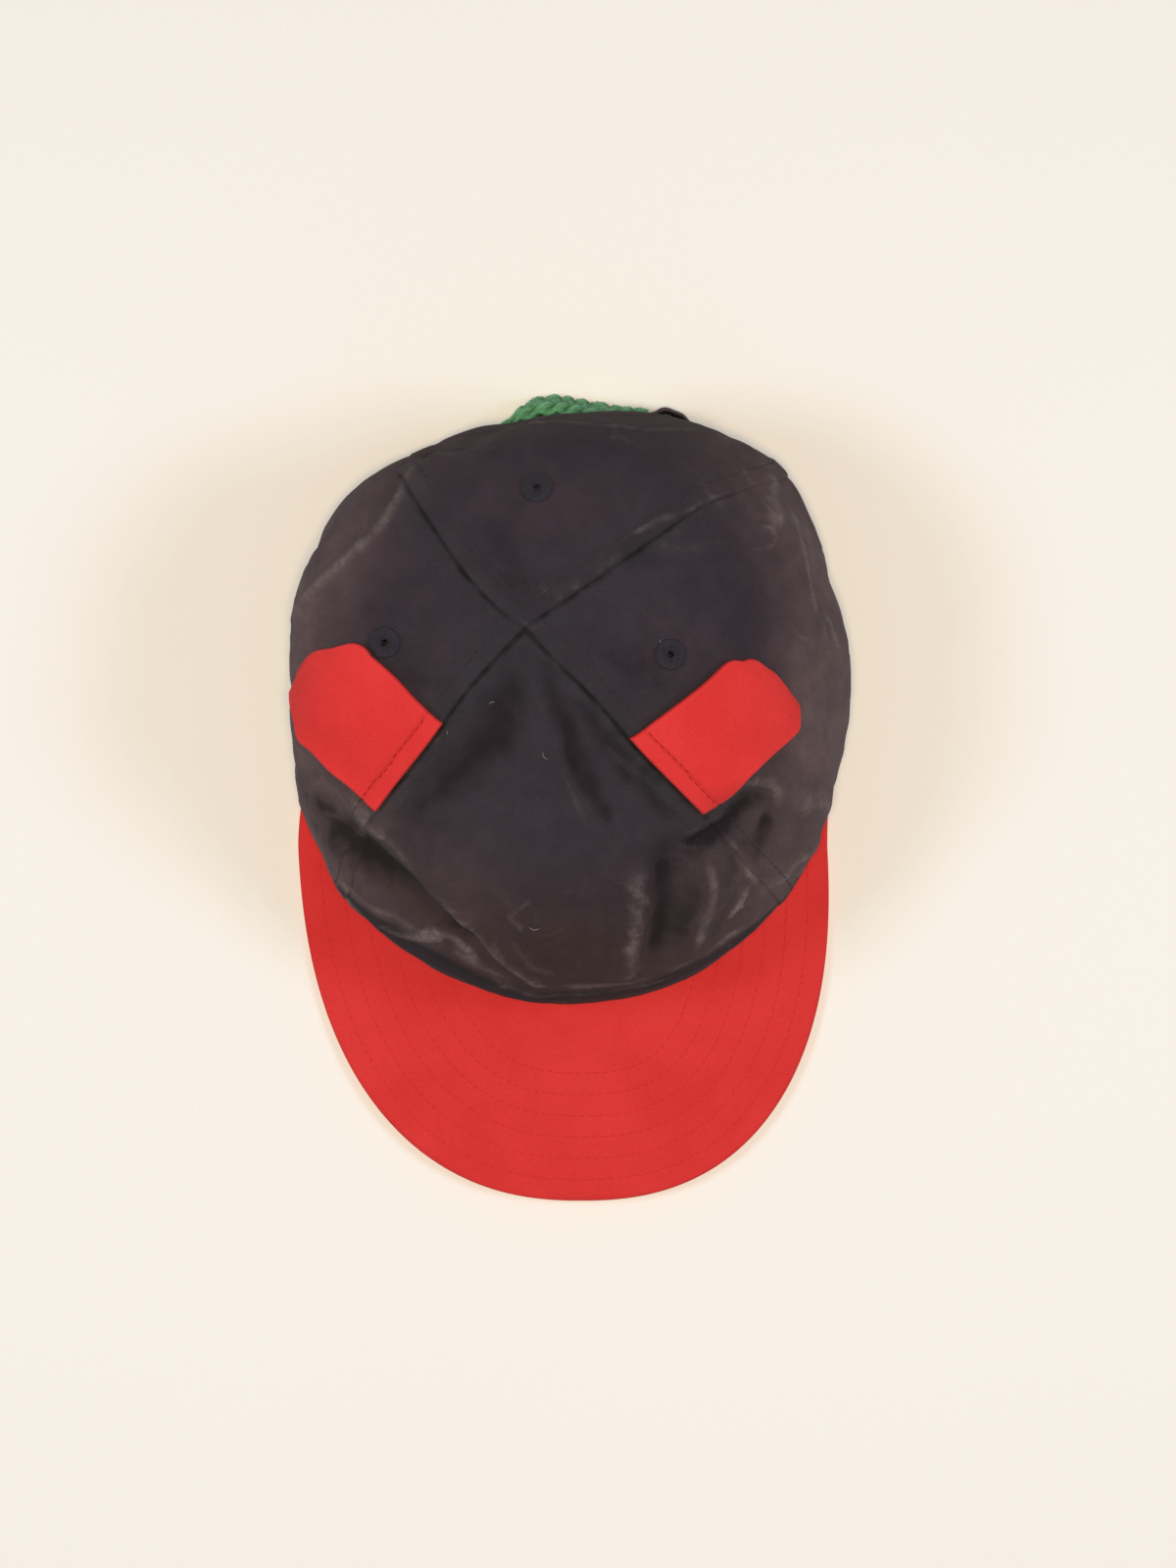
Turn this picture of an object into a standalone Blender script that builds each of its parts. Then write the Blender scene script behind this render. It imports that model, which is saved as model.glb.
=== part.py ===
"""Child's soft four-panel cap: navy cotton crown, red peak, two red ear flaps and a gathered band behind.

Metres, +Z up. The cap stands on its rim with the peak along -Y. Left and right are as seen from above
with the peak at the bottom. The crown is described by two cloth coordinates: turn, the angle round the
rim in degrees (0 is the right side, -90 the peak), and rise, the share of the way up a panel from the
rim (0) to the crossing of the seams (1).
"""

import math
from collections import namedtuple

import bmesh
import bpy
from mathutils import Vector

# Crown
RIM_HALF_WIDTH = 0.082
RIM_FRONT = 0.090
RIM_BACK = 0.094
CROWN_HEIGHT = 0.088
LEAN_SIDE = -0.013
LEAN_BACK = 0.022
CLOTH = 0.0016
SEAM_GAP = 0.0005
TOUCH_GAP = 0.0003
FRONT_ROUNDNESS = 2.2
FRONT_ROUNDNESS_ABOVE = 2.04
BACK_ROUNDNESS = 2.4
BACK_TUCK = 0.0050
TUCK_TURN = 114.0
TUCK_SPREAD = 17.0

# Peak
PEAK_HALF_WIDTH = 0.0836
PEAK_LENGTH = 0.0655
PEAK_WING = 0.026
PEAK_WING_WIDTH = 0.0012
PEAK_THICKNESS = 0.003
PEAK_CAMBER = 0.004
PEAK_ROUNDNESS = 2.35
PEAK_END_TURN = 10.0
PEAK_CURVED_SHARE = 0.84
PEAK_SWING = 3.0

# Ear flaps
EAR_THICKNESS = 0.002
EAR_LIFT = 0.0009
EAR_PUFF = 0.0016

# Eyelets
EYELET_RADIUS = 0.0047
EYELET_HOLE = 0.0010
EYELET_HEIGHT = 0.0010
EYELET_LIFT = 0.0004

# Opening at the back, with the strap across it
ARCH_HALF_WIDTH = 0.038
ARCH_HEIGHT = 0.050
ARCH_SIDE = 0.0015
STRAP_BULGE = 0.0038
STRAP_BOTTOM = 0.0012
STRAP_CLEARANCE = 0.0010
BAND_END = 0.0245
BAND_HEIGHT = 0.018
BAND_THICKNESS = 0.003
GATHER_DEPTH = 0.0006
GATHER_PITCH = 0.0052
GATHER_SLANT = 0.60
BAND_LEAN = 0.005
TAB_HEIGHT = 0.015
TAB_THICKNESS = 0.0014

# Mesh fineness
PANEL_COLUMNS = 18
PANEL_ROWS = 18
PEAK_COLUMNS = 44
PEAK_ROWS = 6
EAR_COLUMNS = 8
EAR_ROWS = 10
GATHER_COLUMNS = 6
EYELET_SIDES = 20
ARCH_SIDES = 40

NAVY = (0.036, 0.030, 0.034)
RED = (0.72, 0.035, 0.030)
GREEN = (0.10, 0.36, 0.14)

# Outs are shares of the rim's reach on that side, ups are shares of the crown's height.
Section = namedtuple(
    "Section",
    "rise lean left_out left_up right_out right_up front_out front_up back_out back_up",
)
SECTIONS = (
    Section(0.00, 0.00, 1.000, 0.000, 1.000, 0.000, 1.000, 0.000, 1.000, 0.000),
    Section(0.04, 0.00, 1.000, 0.068, 1.000, 0.068, 1.000, 0.068, 1.000, 0.068),
    Section(0.18, 0.03, 1.038, 0.295, 1.057, 0.295, 1.035, 0.273, 0.988, 0.273),
    Section(0.34, 0.12, 1.033, 0.568, 1.043, 0.545, 0.985, 0.500, 0.932, 0.523),
    Section(0.48, 0.30, 0.952, 0.807, 0.926, 0.750, 0.840, 0.693, 0.838, 0.739),
    Section(0.60, 0.50, 0.762, 0.943, 0.774, 0.869, 0.667, 0.818, 0.702, 0.875),
    Section(0.72, 0.70, 0.523, 0.983, 0.574, 0.938, 0.471, 0.909, 0.496, 0.955),
    Section(0.85, 0.88, 0.275, 0.994, 0.335, 0.983, 0.237, 0.972, 0.262, 0.989),
    Section(1.00, 1.00, 0.000, 1.000, 0.000, 1.000, 0.000, 1.000, 0.000, 1.000),
)
HEM_RISE = SECTIONS[1].rise
CALM_HEM_RISE = 0.16
CALM_CROSSING_RISE = 0.90
CROSSING_RISE = 0.985

# A seam leaves the rim at one turn and reaches the crossing at another.
Seam = namedtuple("Seam", "rim_turn top_turn")
FRONT_LEFT_SEAM = Seam(-140.0, -138.0)
FRONT_RIGHT_SEAM = Seam(-42.0, -58.0)
BACK_RIGHT_SEAM = Seam(44.0, 43.0)
BACK_LEFT_SEAM = Seam(121.0, 152.0)
SIDE_SEAM_AGAIN = Seam(220.0, 222.0)

# A fold runs through three places on the crown. Depth, out when positive, and reach are shares of the
# crown's height.
Fold = namedtuple(
    "Fold",
    "start_turn start_rise middle_turn middle_rise end_turn end_rise depth reach",
)
FOLDS = (
    Fold(-160, 0.43, -138, 0.46, -114, 0.42, -0.075, 0.105),
    Fold(-166, 0.24, -137, 0.26, -97, 0.29, 0.020, 0.070),
    Fold(-139, 0.57, -121, 0.54, -111, 0.48, 0.034, 0.070),
    Fold(-165, 0.50, -149, 0.54, -137, 0.55, 0.025, 0.060),
    Fold(-61, 0.55, -42, 0.53, -33, 0.53, -0.055, 0.085),
    Fold(-43, 0.47, -38, 0.46, -33, 0.46, -0.050, 0.090),
    Fold(-35, 0.60, -28, 0.57, -25, 0.45, 0.034, 0.065),
    Fold(-47, 0.50, -58, 0.42, -63, 0.37, 0.030, 0.055),
    Fold(-68, 0.55, -72, 0.49, -77, 0.37, 0.025, 0.055),
    Fold(-59, 0.57, -64, 0.50, -69, 0.42, -0.025, 0.050),
    Fold(-50, 0.27, -42, 0.31, -30, 0.30, 0.010, 0.060),
    Fold(168, 0.50, 149, 0.63, 125, 0.60, 0.036, 0.060),
    Fold(33, 0.46, 23, 0.47, 8, 0.46, 0.028, 0.060),
    Fold(44, 0.76, 33, 0.68, 33, 0.60, -0.034, 0.070),
    Fold(103, 0.93, 106, 0.85, 107, 0.76, -0.034, 0.080),
    Fold(-88, 0.93, -84, 0.78, -73, 0.65, 0.022, 0.090),
    Fold(-105, 0.85, -108, 0.79, -109, 0.72, -0.025, 0.110),
    Fold(-78, 0.80, -78, 0.71, -77, 0.62, -0.022, 0.090),
    Fold(-20, 0.80, -26, 0.78, -30, 0.74, -0.030, 0.110),
    Fold(-165, 0.80, -158, 0.78, -150, 0.76, -0.026, 0.100),
    Fold(-109, 0.47, -102, 0.43, -95, 0.38, 0.026, 0.050),
    Fold(100, 0.38, 114, 0.42, 134, 0.42, -0.030, 0.160),
    Fold(114, 0.52, 124, 0.53, 134, 0.53, 0.040, 0.070),
    Fold(106, 0.44, 112, 0.36, 116, 0.26, -0.034, 0.060),
    Fold(-4, 0.38, -12, 0.26, -24, 0.17, -0.028, 0.095),
    Fold(18, 0.42, 23, 0.30, 17, 0.18, -0.026, 0.085),
    Fold(150, 0.40, 156, 0.28, 149, 0.18, -0.026, 0.085),
    Fold(176, 0.38, 185, 0.26, 195, 0.17, -0.028, 0.095),
    Fold(46, 0.24, 54, 0.34, 66, 0.40, 0.030, 0.160),
)

# Along an ear from its seam to its tip: how far the upper and lower edges lie from the seam, in turn,
# and at what rise.
EarStation = namedtuple("EarStation", "along upper_turn upper_rise lower_turn lower_rise")
LEFT_EAR = (
    EarStation(0.00, 0, 0.765, 0, 0.580),
    EarStation(0.16, 15, 0.750, 9, 0.565),
    EarStation(0.32, 29, 0.725, 15, 0.550),
    EarStation(0.48, 39, 0.685, 22, 0.530),
    EarStation(0.62, 43, 0.650, 26, 0.510),
    EarStation(0.76, 43, 0.600, 31, 0.495),
    EarStation(0.88, 43, 0.555, 35, 0.485),
    EarStation(1.00, 41, 0.515, 38, 0.480),
)
RIGHT_EAR = (
    EarStation(0.00, 0, 0.760, 0, 0.590),
    EarStation(0.16, 14, 0.750, 9, 0.580),
    EarStation(0.32, 27, 0.730, 17, 0.575),
    EarStation(0.48, 38, 0.700, 24, 0.550),
    EarStation(0.62, 45, 0.670, 30, 0.520),
    EarStation(0.76, 46, 0.640, 32, 0.510),
    EarStation(0.88, 46, 0.615, 35, 0.510),
    EarStation(1.00, 44, 0.575, 38, 0.515),
)

Eyelet = namedtuple("Eyelet", "name panel turn rise")
EYELETS = (
    Eyelet("left_eyelet", "left_panel", 178.0, 0.700),
    Eyelet("right_eyelet", "right_panel", -4.0, 0.766),
    Eyelet("back_eyelet", "back_panel", 90.5, 0.704),
)

# Across the opening, in half-widths of the arch: how far the strap stands out from the rim's line, in
# strap bulges.
StrapStation = namedtuple("StrapStation", "along stand")
STRAP = (
    StrapStation(-1.00, -0.30),
    StrapStation(-0.70, -0.50),
    StrapStation(-0.54, 0.15),
    StrapStation(-0.42, 1.00),
    StrapStation(-0.22, 1.35),
    StrapStation(0.10, 0.75),
    StrapStation(0.42, 0.20),
    StrapStation(0.58, 0.05),
    StrapStation(0.72, 0.75),
    StrapStation(0.86, 0.95),
    StrapStation(1.00, 0.00),
)


def mix(low, high, share):
    return low + (high - low) * share


def smoothstep(low, high, value):
    """0 at low and 1 at high, with a smooth change between; low may be the larger."""
    share = min(1.0, max(0.0, (value - low) / (high - low)))
    return share * share * (3.0 - 2.0 * share)


def row_at(table, place):
    """A row of the table's kind at any place along its first column, on a smooth curve through its rows."""
    last = len(table) - 1
    row = next((i for i in range(last) if place <= table[i + 1][0]), last - 1)
    before, low, high, after = (table[min(max(i, 0), last)] for i in range(row - 1, row + 3))
    span = high[0] - low[0]
    share = (place - low[0]) / span
    values = []
    for a, b, c, d in zip(before, low, high, after):
        start = (c - a) / (high[0] - before[0]) * span
        end = (d - b) / (after[0] - low[0]) * span
        values.append(
            b * (2 * share**3 - 3 * share**2 + 1)
            + start * (share**3 - 2 * share**2 + share)
            + c * (3 * share**2 - 2 * share**3)
            + end * (share**3 - share**2)
        )
    return type(table[0])(*values)


def rounded(value, roundness):
    """The cosine or sine of a superellipse."""
    return math.copysign(abs(value) ** (2.0 / roundness), value)


def camber_at(x):
    """How high the peak's underside arches above its two side edges."""
    return PEAK_CAMBER * max(0.0, 1.0 - (x / PEAK_HALF_WIDTH) ** 2)


def crown_base(turn, rise):
    """A point on the crown before its folds."""
    section = row_at(SECTIONS, rise)
    across = math.cos(math.radians(turn))
    along = math.sin(math.radians(turn))
    front = mix(FRONT_ROUNDNESS, FRONT_ROUNDNESS_ABOVE, smoothstep(HEM_RISE, CALM_HEM_RISE, rise))
    roundness = BACK_ROUNDNESS if along > 0 else front
    side_out = section.right_out if across > 0 else section.left_out
    side_up = section.right_up if across > 0 else section.left_up
    end_reach = RIM_BACK * section.back_out if along > 0 else RIM_FRONT * section.front_out
    end_up = section.back_up if along > 0 else section.front_up
    x = LEAN_SIDE * section.lean + rounded(across, roundness) * RIM_HALF_WIDTH * side_out
    y = LEAN_BACK * section.lean + rounded(along, roundness) * end_reach
    y -= BACK_TUCK * math.exp(-(((turn - TUCK_TURN) / TUCK_SPREAD) ** 2)) * smoothstep(0.8, 0.5, rise)
    z = CROWN_HEIGHT * (side_up * across**2 + end_up * along**2)
    over_peak = smoothstep(0.15, 0.5, -along)
    z += camber_at(x) * over_peak * (1.0 - rise)
    return Vector((x, y, z))


def crown_normal(turn, rise):
    """The outward direction of the crown before its folds."""
    step_turn, step_rise = 0.5, 0.004
    low, high = max(0.0, rise - step_rise), min(0.995, rise + step_rise)
    round_rim = crown_base(turn + step_turn, rise) - crown_base(turn - step_turn, rise)
    up_panel = crown_base(turn, high) - crown_base(turn, low)
    return round_rim.cross(up_panel).normalized()


def distance_to(point, start, end):
    run = end - start
    share = min(1.0, max(0.0, (point - start).dot(run) / run.length_squared))
    return (point - start - run * share).length


def fold_routes():
    """Each fold's three places on the crown, with its depth and reach in metres."""
    routes = []
    for fold in FOLDS:
        places = [
            crown_base(fold.start_turn, fold.start_rise),
            crown_base(fold.middle_turn, fold.middle_rise),
            crown_base(fold.end_turn, fold.end_rise),
        ]
        routes.append((places, fold.depth * CROWN_HEIGHT, fold.reach * CROWN_HEIGHT))
    return routes


ROUTES = fold_routes()


def fold_at(point, rise):
    """How far the folds move the cloth, outward when positive."""
    total = 0.0
    for (start, middle, end), depth, reach in ROUTES:
        near = min(distance_to(point, start, middle), distance_to(point, middle, end))
        total += depth * math.exp(-((near / reach) ** 2))
    return total * smoothstep(HEM_RISE, CALM_HEM_RISE, rise) * smoothstep(1.0, CALM_CROSSING_RISE, rise)


def crown_point(turn, rise, lift=0.0):
    """A point on the crown's cloth, or lifted off it."""
    point = crown_base(turn, rise)
    return point + crown_normal(turn, rise) * (fold_at(point, rise) + lift)


def seam_turn(seam, rise):
    return mix(seam.rim_turn, seam.top_turn, rise**3)


def turn_across(length, turn, rise):
    """The change of turn that covers a short length round the crown."""
    return length / (crown_base(turn + 0.5, rise) - crown_base(turn - 0.5, rise)).length


def material(name, colour, roughness):
    finish = bpy.data.materials.new(name)
    finish.use_nodes = True
    shader = finish.node_tree.nodes["Principled BSDF"]
    shader.inputs["Base Color"].default_value = (*colour, 1.0)
    shader.inputs["Roughness"].default_value = roughness
    shader.inputs["Metallic"].default_value = 0.0
    return finish


def add_object(name, mesh, collection, finish=None):
    obj = bpy.data.objects.new(name, mesh)
    collection.objects.link(obj)
    if finish:
        mesh.materials.append(finish)
    return obj


def laid_sheet(name, columns, rows, place, collection, finish):
    """An open grid of cloth whose vertices are laid by place(across, up)."""
    sheet = bmesh.new()
    bmesh.ops.create_grid(sheet, x_segments=columns, y_segments=rows, size=0.5)
    for vertex in sheet.verts:
        vertex.co = place(vertex.co.x + 0.5, vertex.co.y + 0.5)
    mesh = bpy.data.meshes.new(name)
    sheet.to_mesh(mesh)
    sheet.free()
    mesh.shade_smooth()
    return add_object(name, mesh, collection, finish)


def thicken(obj, thickness, offset):
    """Solidify: offset -1 grows inward from the sheet, 1 outward, 0 both ways."""
    wall = obj.modifiers.new("wall", "SOLIDIFY")
    wall.thickness = thickness
    wall.offset = offset


def cut(obj, cutter):
    hole = obj.modifiers.new(cutter.name, "BOOLEAN")
    hole.operation = "DIFFERENCE"
    hole.object = cutter


def make_cutter(name, radius, depth, sides, collection):
    """A cylinder along its own Z that only cuts."""
    shape = bmesh.new()
    bmesh.ops.create_cone(
        shape, cap_ends=True, segments=sides, radius1=radius, radius2=radius, depth=depth
    )
    mesh = bpy.data.meshes.new(name)
    shape.to_mesh(mesh)
    shape.free()
    cutter = add_object(name, mesh, collection)
    cutter.hide_render = True
    cutter.display_type = "WIRE"
    return cutter


def make_panel(name, first_seam, second_seam, collection, finish):
    """One panel of the crown between two seams, open half a seam gap short of each."""

    def place(across, up):
        rise = HEM_RISE * up * PANEL_ROWS
        if rise > HEM_RISE:
            share = (up * PANEL_ROWS - 1.0) / (PANEL_ROWS - 1.0)
            rise = mix(HEM_RISE, CROSSING_RISE, share)
        first, second = seam_turn(first_seam, rise), seam_turn(second_seam, rise)
        start = first + turn_across(SEAM_GAP / 2, first, rise)
        end = second - turn_across(SEAM_GAP / 2, second, rise)
        return crown_point(mix(start, end, across), rise)

    panel = laid_sheet(name, PANEL_COLUMNS, PANEL_ROWS, place, collection, finish)
    thicken(panel, CLOTH, -1)
    return panel


def make_arch(panel, collection):
    """Cuts the back panel's half-round opening."""
    cutter = make_cutter("arch_cutter", 1.0, RIM_BACK, ARCH_SIDES, collection)
    for vertex in cutter.data.vertices:
        x, y, z = vertex.co
        vertex.co = (x * ARCH_HALF_WIDTH + ARCH_SIDE, z + RIM_BACK, y * ARCH_HEIGHT)
    cutter.data.flip_normals()
    cut(panel, cutter)


def make_peak(collection, finish):
    """The stiff peak, whose inner edge follows the rim and whose outer edge is half a superellipse."""
    half_sweep = 90.0 - PEAK_END_TURN
    tip = -(RIM_FRONT + PEAK_LENGTH)
    swing = math.tan(math.radians(PEAK_SWING))

    def inner(share):
        turn = -90.0 + half_sweep * share
        point = crown_base(turn, 0.0) + crown_normal(turn, 0.0) * TOUCH_GAP
        return Vector((point.x, point.y))

    def curved(share):
        """The peak's free edge, drawn over to one side by the peak's swing."""
        angle = math.radians(90.0 * share)
        across = rounded(math.sin(angle), PEAK_ROUNDNESS) * PEAK_HALF_WIDTH
        along = mix(inner(1.0).y - PEAK_WING, tip, rounded(math.cos(angle), PEAK_ROUNDNESS))
        return Vector((across - (along + RIM_FRONT) * swing, along))

    def outer(share):
        if abs(share) <= PEAK_CURVED_SHARE:
            return curved(share / PEAK_CURVED_SHARE)
        side = math.copysign(1.0, share)
        back = (abs(share) - PEAK_CURVED_SHARE) / (1.0 - PEAK_CURVED_SHARE)
        start, end = curved(side), inner(side) + Vector((side * PEAK_WING_WIDTH, 0.0))
        return Vector((mix(start.x, end.x, back**2), mix(start.y, end.y, back)))

    def place(across, up):
        share = 2.0 * across - 1.0
        point = outer(share).lerp(inner(share), up)
        return Vector((point.x, point.y, camber_at(point.x)))

    peak = laid_sheet("peak", PEAK_COLUMNS, PEAK_ROWS, place, collection, finish)
    thicken(peak, PEAK_THICKNESS, 1)


def make_ear(name, table, seam, side, collection, finish):
    """A flap laid on the crown from its seam; side is 1 to the right of the cap and -1 to the left."""

    def place(across, up):
        station = row_at(table, up)
        down = across if side > 0 else 1.0 - across
        rise = mix(station.upper_rise, station.lower_rise, down)
        away = mix(station.upper_turn, station.lower_turn, down)
        seam_line = seam_turn(seam, rise)
        start = turn_across(SEAM_GAP / 2, seam_line, rise)
        lift = EAR_LIFT + EAR_PUFF * math.sin(math.pi * up)
        return crown_point(seam_line + side * (away + start), rise, lift)

    ear = laid_sheet(name, EAR_COLUMNS, EAR_ROWS, place, collection, finish)
    thicken(ear, EAR_THICKNESS, 1)


def make_eyelet(eyelet, panel, collection, cutters, finish):
    """An embroidered ring on the cloth, with a small hole under it."""
    ring_width = EYELET_RADIUS - EYELET_HOLE
    bpy.ops.mesh.primitive_torus_add(
        major_radius=EYELET_HOLE + ring_width / 2,
        minor_radius=ring_width / 2,
        major_segments=EYELET_SIDES,
        minor_segments=8,
    )
    ring = bpy.context.object
    ring.name = eyelet.name
    ring.data.name = eyelet.name
    ring.data.materials.append(finish)
    for holder in list(ring.users_collection):
        holder.objects.unlink(ring)
    collection.objects.link(ring)
    for vertex in ring.data.vertices:
        vertex.co.z *= EYELET_HEIGHT / ring_width
    ring.data.shade_smooth()
    facing = crown_normal(eyelet.turn, eyelet.rise).to_track_quat("Z", "Y")
    hole = make_cutter(eyelet.name + "_cutter", EYELET_HOLE, 8 * CLOTH, 10, cutters)
    for obj, lift in ((ring, EYELET_LIFT + EYELET_HEIGHT / 2), (hole, 0.0)):
        obj.rotation_mode = "QUATERNION"
        obj.rotation_quaternion = facing
        obj.location = crown_point(eyelet.turn, eyelet.rise, lift)
    cut(panel, hole)


def strap_line(x):
    """The strap's middle in plan: the rim's line at the back, moved out by the strap's table."""
    along = min(1.0, max(-1.0, (x - ARCH_SIDE) / ARCH_HALF_WIDTH))
    turn = math.degrees(math.acos(rounded(x / RIM_HALF_WIDTH, 4.0 / BACK_ROUNDNESS)))
    return crown_base(turn, 0.0).y - CLOTH / 2 + STRAP_BULGE * row_at(STRAP, along).stand


def arch_side_at(z):
    """Half the opening's width at a height."""
    return ARCH_HALF_WIDTH * math.sqrt(max(0.0, 1.0 - (z / ARCH_HEIGHT) ** 2))


def make_band(collection, finish):
    """The gathered part of the strap, from the opening's left edge."""
    waves = (BAND_END - ARCH_SIDE + ARCH_HALF_WIDTH) / GATHER_PITCH

    def place(across, up):
        z = STRAP_BOTTOM + BAND_HEIGHT * up
        x = mix(ARCH_SIDE - arch_side_at(z) + STRAP_CLEARANCE, BAND_END, across)
        gather = math.sin(2 * math.pi * (x + GATHER_SLANT * z) / GATHER_PITCH)
        flat_ends = smoothstep(0.0, 0.08, across) * smoothstep(1.0, 0.94, across)
        lean = BAND_LEAN * up * smoothstep(0.10, 0.40, across) * smoothstep(1.0, 0.70, across)
        return Vector((x, strap_line(x) + GATHER_DEPTH * gather * flat_ends - lean, z))

    columns = round(waves * GATHER_COLUMNS)
    band = laid_sheet("back_band", columns, 5, place, collection, finish)
    thicken(band, BAND_THICKNESS, 0)


def make_tab(collection, finish):
    """The plain end of the strap, from the band to the opening's right edge."""

    def place(across, up):
        z = STRAP_BOTTOM + TAB_HEIGHT * up
        x = mix(BAND_END + STRAP_CLEARANCE / 2, ARCH_SIDE + arch_side_at(z) - STRAP_CLEARANCE, across)
        return Vector((x, strap_line(x), z))

    tab = laid_sheet("strap_tab", 12, 3, place, collection, finish)
    thicken(tab, TAB_THICKNESS, 0)


def centre_on_origin(parts, cutters):
    """Moves everything so that the cap's box stands on the origin."""
    holder = bpy.data.objects.new("cap_place", None)
    bpy.context.scene.collection.objects.link(holder)
    for obj in [*parts.objects, *cutters.objects]:
        obj.parent = holder
    bpy.context.view_layer.update()
    graph = bpy.context.evaluated_depsgraph_get()
    corners = []
    for obj in parts.objects:
        shape = obj.evaluated_get(graph)
        corners += [obj.matrix_world @ vertex.co for vertex in shape.data.vertices]
    low = [min(corner[i] for corner in corners) for i in range(3)]
    high = [max(corner[i] for corner in corners) for i in range(3)]
    holder.location = (-(low[0] + high[0]) / 2, -(low[1] + high[1]) / 2, -low[2])
    bpy.context.view_layer.update()


def build():
    for obj in list(bpy.data.objects):
        bpy.data.objects.remove(obj, do_unlink=True)
    parts = bpy.data.collections.new("soft_cap")
    cutters = bpy.data.collections.new("cutters")
    for collection in (parts, cutters):
        bpy.context.scene.collection.children.link(collection)

    navy = material("navy_cotton", NAVY, 0.9)
    red = material("red_cotton", RED, 0.85)
    green = material("green_band", GREEN, 0.95)
    thread = material("navy_thread", NAVY, 0.7)
    strap = material("strap_cloth", NAVY, 0.85)

    panels = {
        "front_panel": make_panel("front_panel", FRONT_LEFT_SEAM, FRONT_RIGHT_SEAM, parts, navy),
        "right_panel": make_panel("right_panel", FRONT_RIGHT_SEAM, BACK_RIGHT_SEAM, parts, navy),
        "back_panel": make_panel("back_panel", BACK_RIGHT_SEAM, BACK_LEFT_SEAM, parts, navy),
        "left_panel": make_panel("left_panel", BACK_LEFT_SEAM, SIDE_SEAM_AGAIN, parts, navy),
    }
    make_arch(panels["back_panel"], cutters)
    make_peak(parts, red)
    make_ear("left_ear", LEFT_EAR, FRONT_LEFT_SEAM, -1, parts, red)
    make_ear("right_ear", RIGHT_EAR, FRONT_RIGHT_SEAM, 1, parts, red)
    for eyelet in EYELETS:
        make_eyelet(eyelet, panels[eyelet.panel], parts, cutters, thread)
    make_band(parts, green)
    make_tab(parts, strap)
    centre_on_origin(parts, cutters)


if __name__ == "__main__":
    build()
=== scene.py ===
"""Dresses the child's soft peaked cap in cloth and thread, and lights it as in the photograph.

The crown is described by two cloth coordinates: turn, the angle round the rim in degrees (0 is the right
side, -90 the peak), and rise, the share of the way up a panel from the rim (0) to the crossing (1). The
tables and curves of the crown are those of the CAD source, so each piece lies where its solid is.
"""

import math
from collections import namedtuple

import bmesh
import bpy
import numpy as np
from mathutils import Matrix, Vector, noise


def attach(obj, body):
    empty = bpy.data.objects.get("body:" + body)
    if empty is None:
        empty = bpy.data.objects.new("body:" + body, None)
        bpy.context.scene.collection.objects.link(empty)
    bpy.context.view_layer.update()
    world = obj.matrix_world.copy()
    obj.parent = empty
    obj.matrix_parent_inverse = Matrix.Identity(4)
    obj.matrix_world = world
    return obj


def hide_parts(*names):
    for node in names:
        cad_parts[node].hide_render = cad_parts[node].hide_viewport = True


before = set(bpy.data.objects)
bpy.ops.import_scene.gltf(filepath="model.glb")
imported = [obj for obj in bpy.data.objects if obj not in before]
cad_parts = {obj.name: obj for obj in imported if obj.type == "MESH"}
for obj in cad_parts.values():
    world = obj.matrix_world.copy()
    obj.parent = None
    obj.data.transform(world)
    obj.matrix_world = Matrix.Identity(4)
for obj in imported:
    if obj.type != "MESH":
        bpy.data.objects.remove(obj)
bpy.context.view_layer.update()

MM = 0.001

# Crown
RIM_HALF_WIDTH = 0.082
RIM_FRONT = 0.090
RIM_BACK = 0.094
CROWN_HEIGHT = 0.088
LEAN_SIDE = -0.013
LEAN_BACK = 0.022
CLOTH = 0.0016
FRONT_ROUNDNESS = 2.2
FRONT_ROUNDNESS_ABOVE = 2.04
BACK_ROUNDNESS = 2.4
BACK_TUCK = 0.0050
TUCK_TURN = 114.0
TUCK_SPREAD = 17.0
HEM_RISE = 0.04
CALM_HEM_RISE = 0.16
CALM_CROSSING_RISE = 0.90
CROSSING_RISE = 0.985
TOP_RISE = 0.9997

# Peak
PEAK_HALF_WIDTH = 0.0836
PEAK_LENGTH = 0.0655
PEAK_WING = 0.026
PEAK_WING_WIDTH = 0.0012
PEAK_THICKNESS = 0.003
PEAK_CAMBER = 0.004
PEAK_ROUNDNESS = 2.35
PEAK_END_TURN = 10.0
PEAK_CURVED_SHARE = 0.84
PEAK_SWING = 3.0
PEAK_ROWS = (6.8, 13.5, 20.2, 26.9, 33.6, 40.3)

# Ear flaps
EAR_THICKNESS = 0.002
EAR_LIFT = 0.0009
EAR_PUFF = 0.0016
EAR_STITCH = 0.0056

# Eyelets
EYELET_RADIUS = 0.0047
EYELET_HOLE = 0.0009
EYELET_HEIGHT = 0.0011

# Opening at the back, with the strap across it
ARCH_HALF_WIDTH = 0.038
ARCH_HEIGHT = 0.050
ARCH_SIDE = 0.0015
ARCH_STITCH = 0.0062
STRAP_BULGE = 0.0038
STRAP_BOTTOM = 0.0012
STRAP_CLEARANCE = 0.0010
BAND_END = 0.0245
BAND_HEIGHT = 0.018
BAND_THICKNESS = 0.003
GATHER_DEPTH = 0.0006
GATHER_PITCH = 0.0052
GATHER_SLANT = 0.60
BAND_LEAN = 0.005
BAND_LOOPS = 4200
TAB_HEIGHT = 0.015
TAB_THICKNESS = 0.0014

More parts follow.
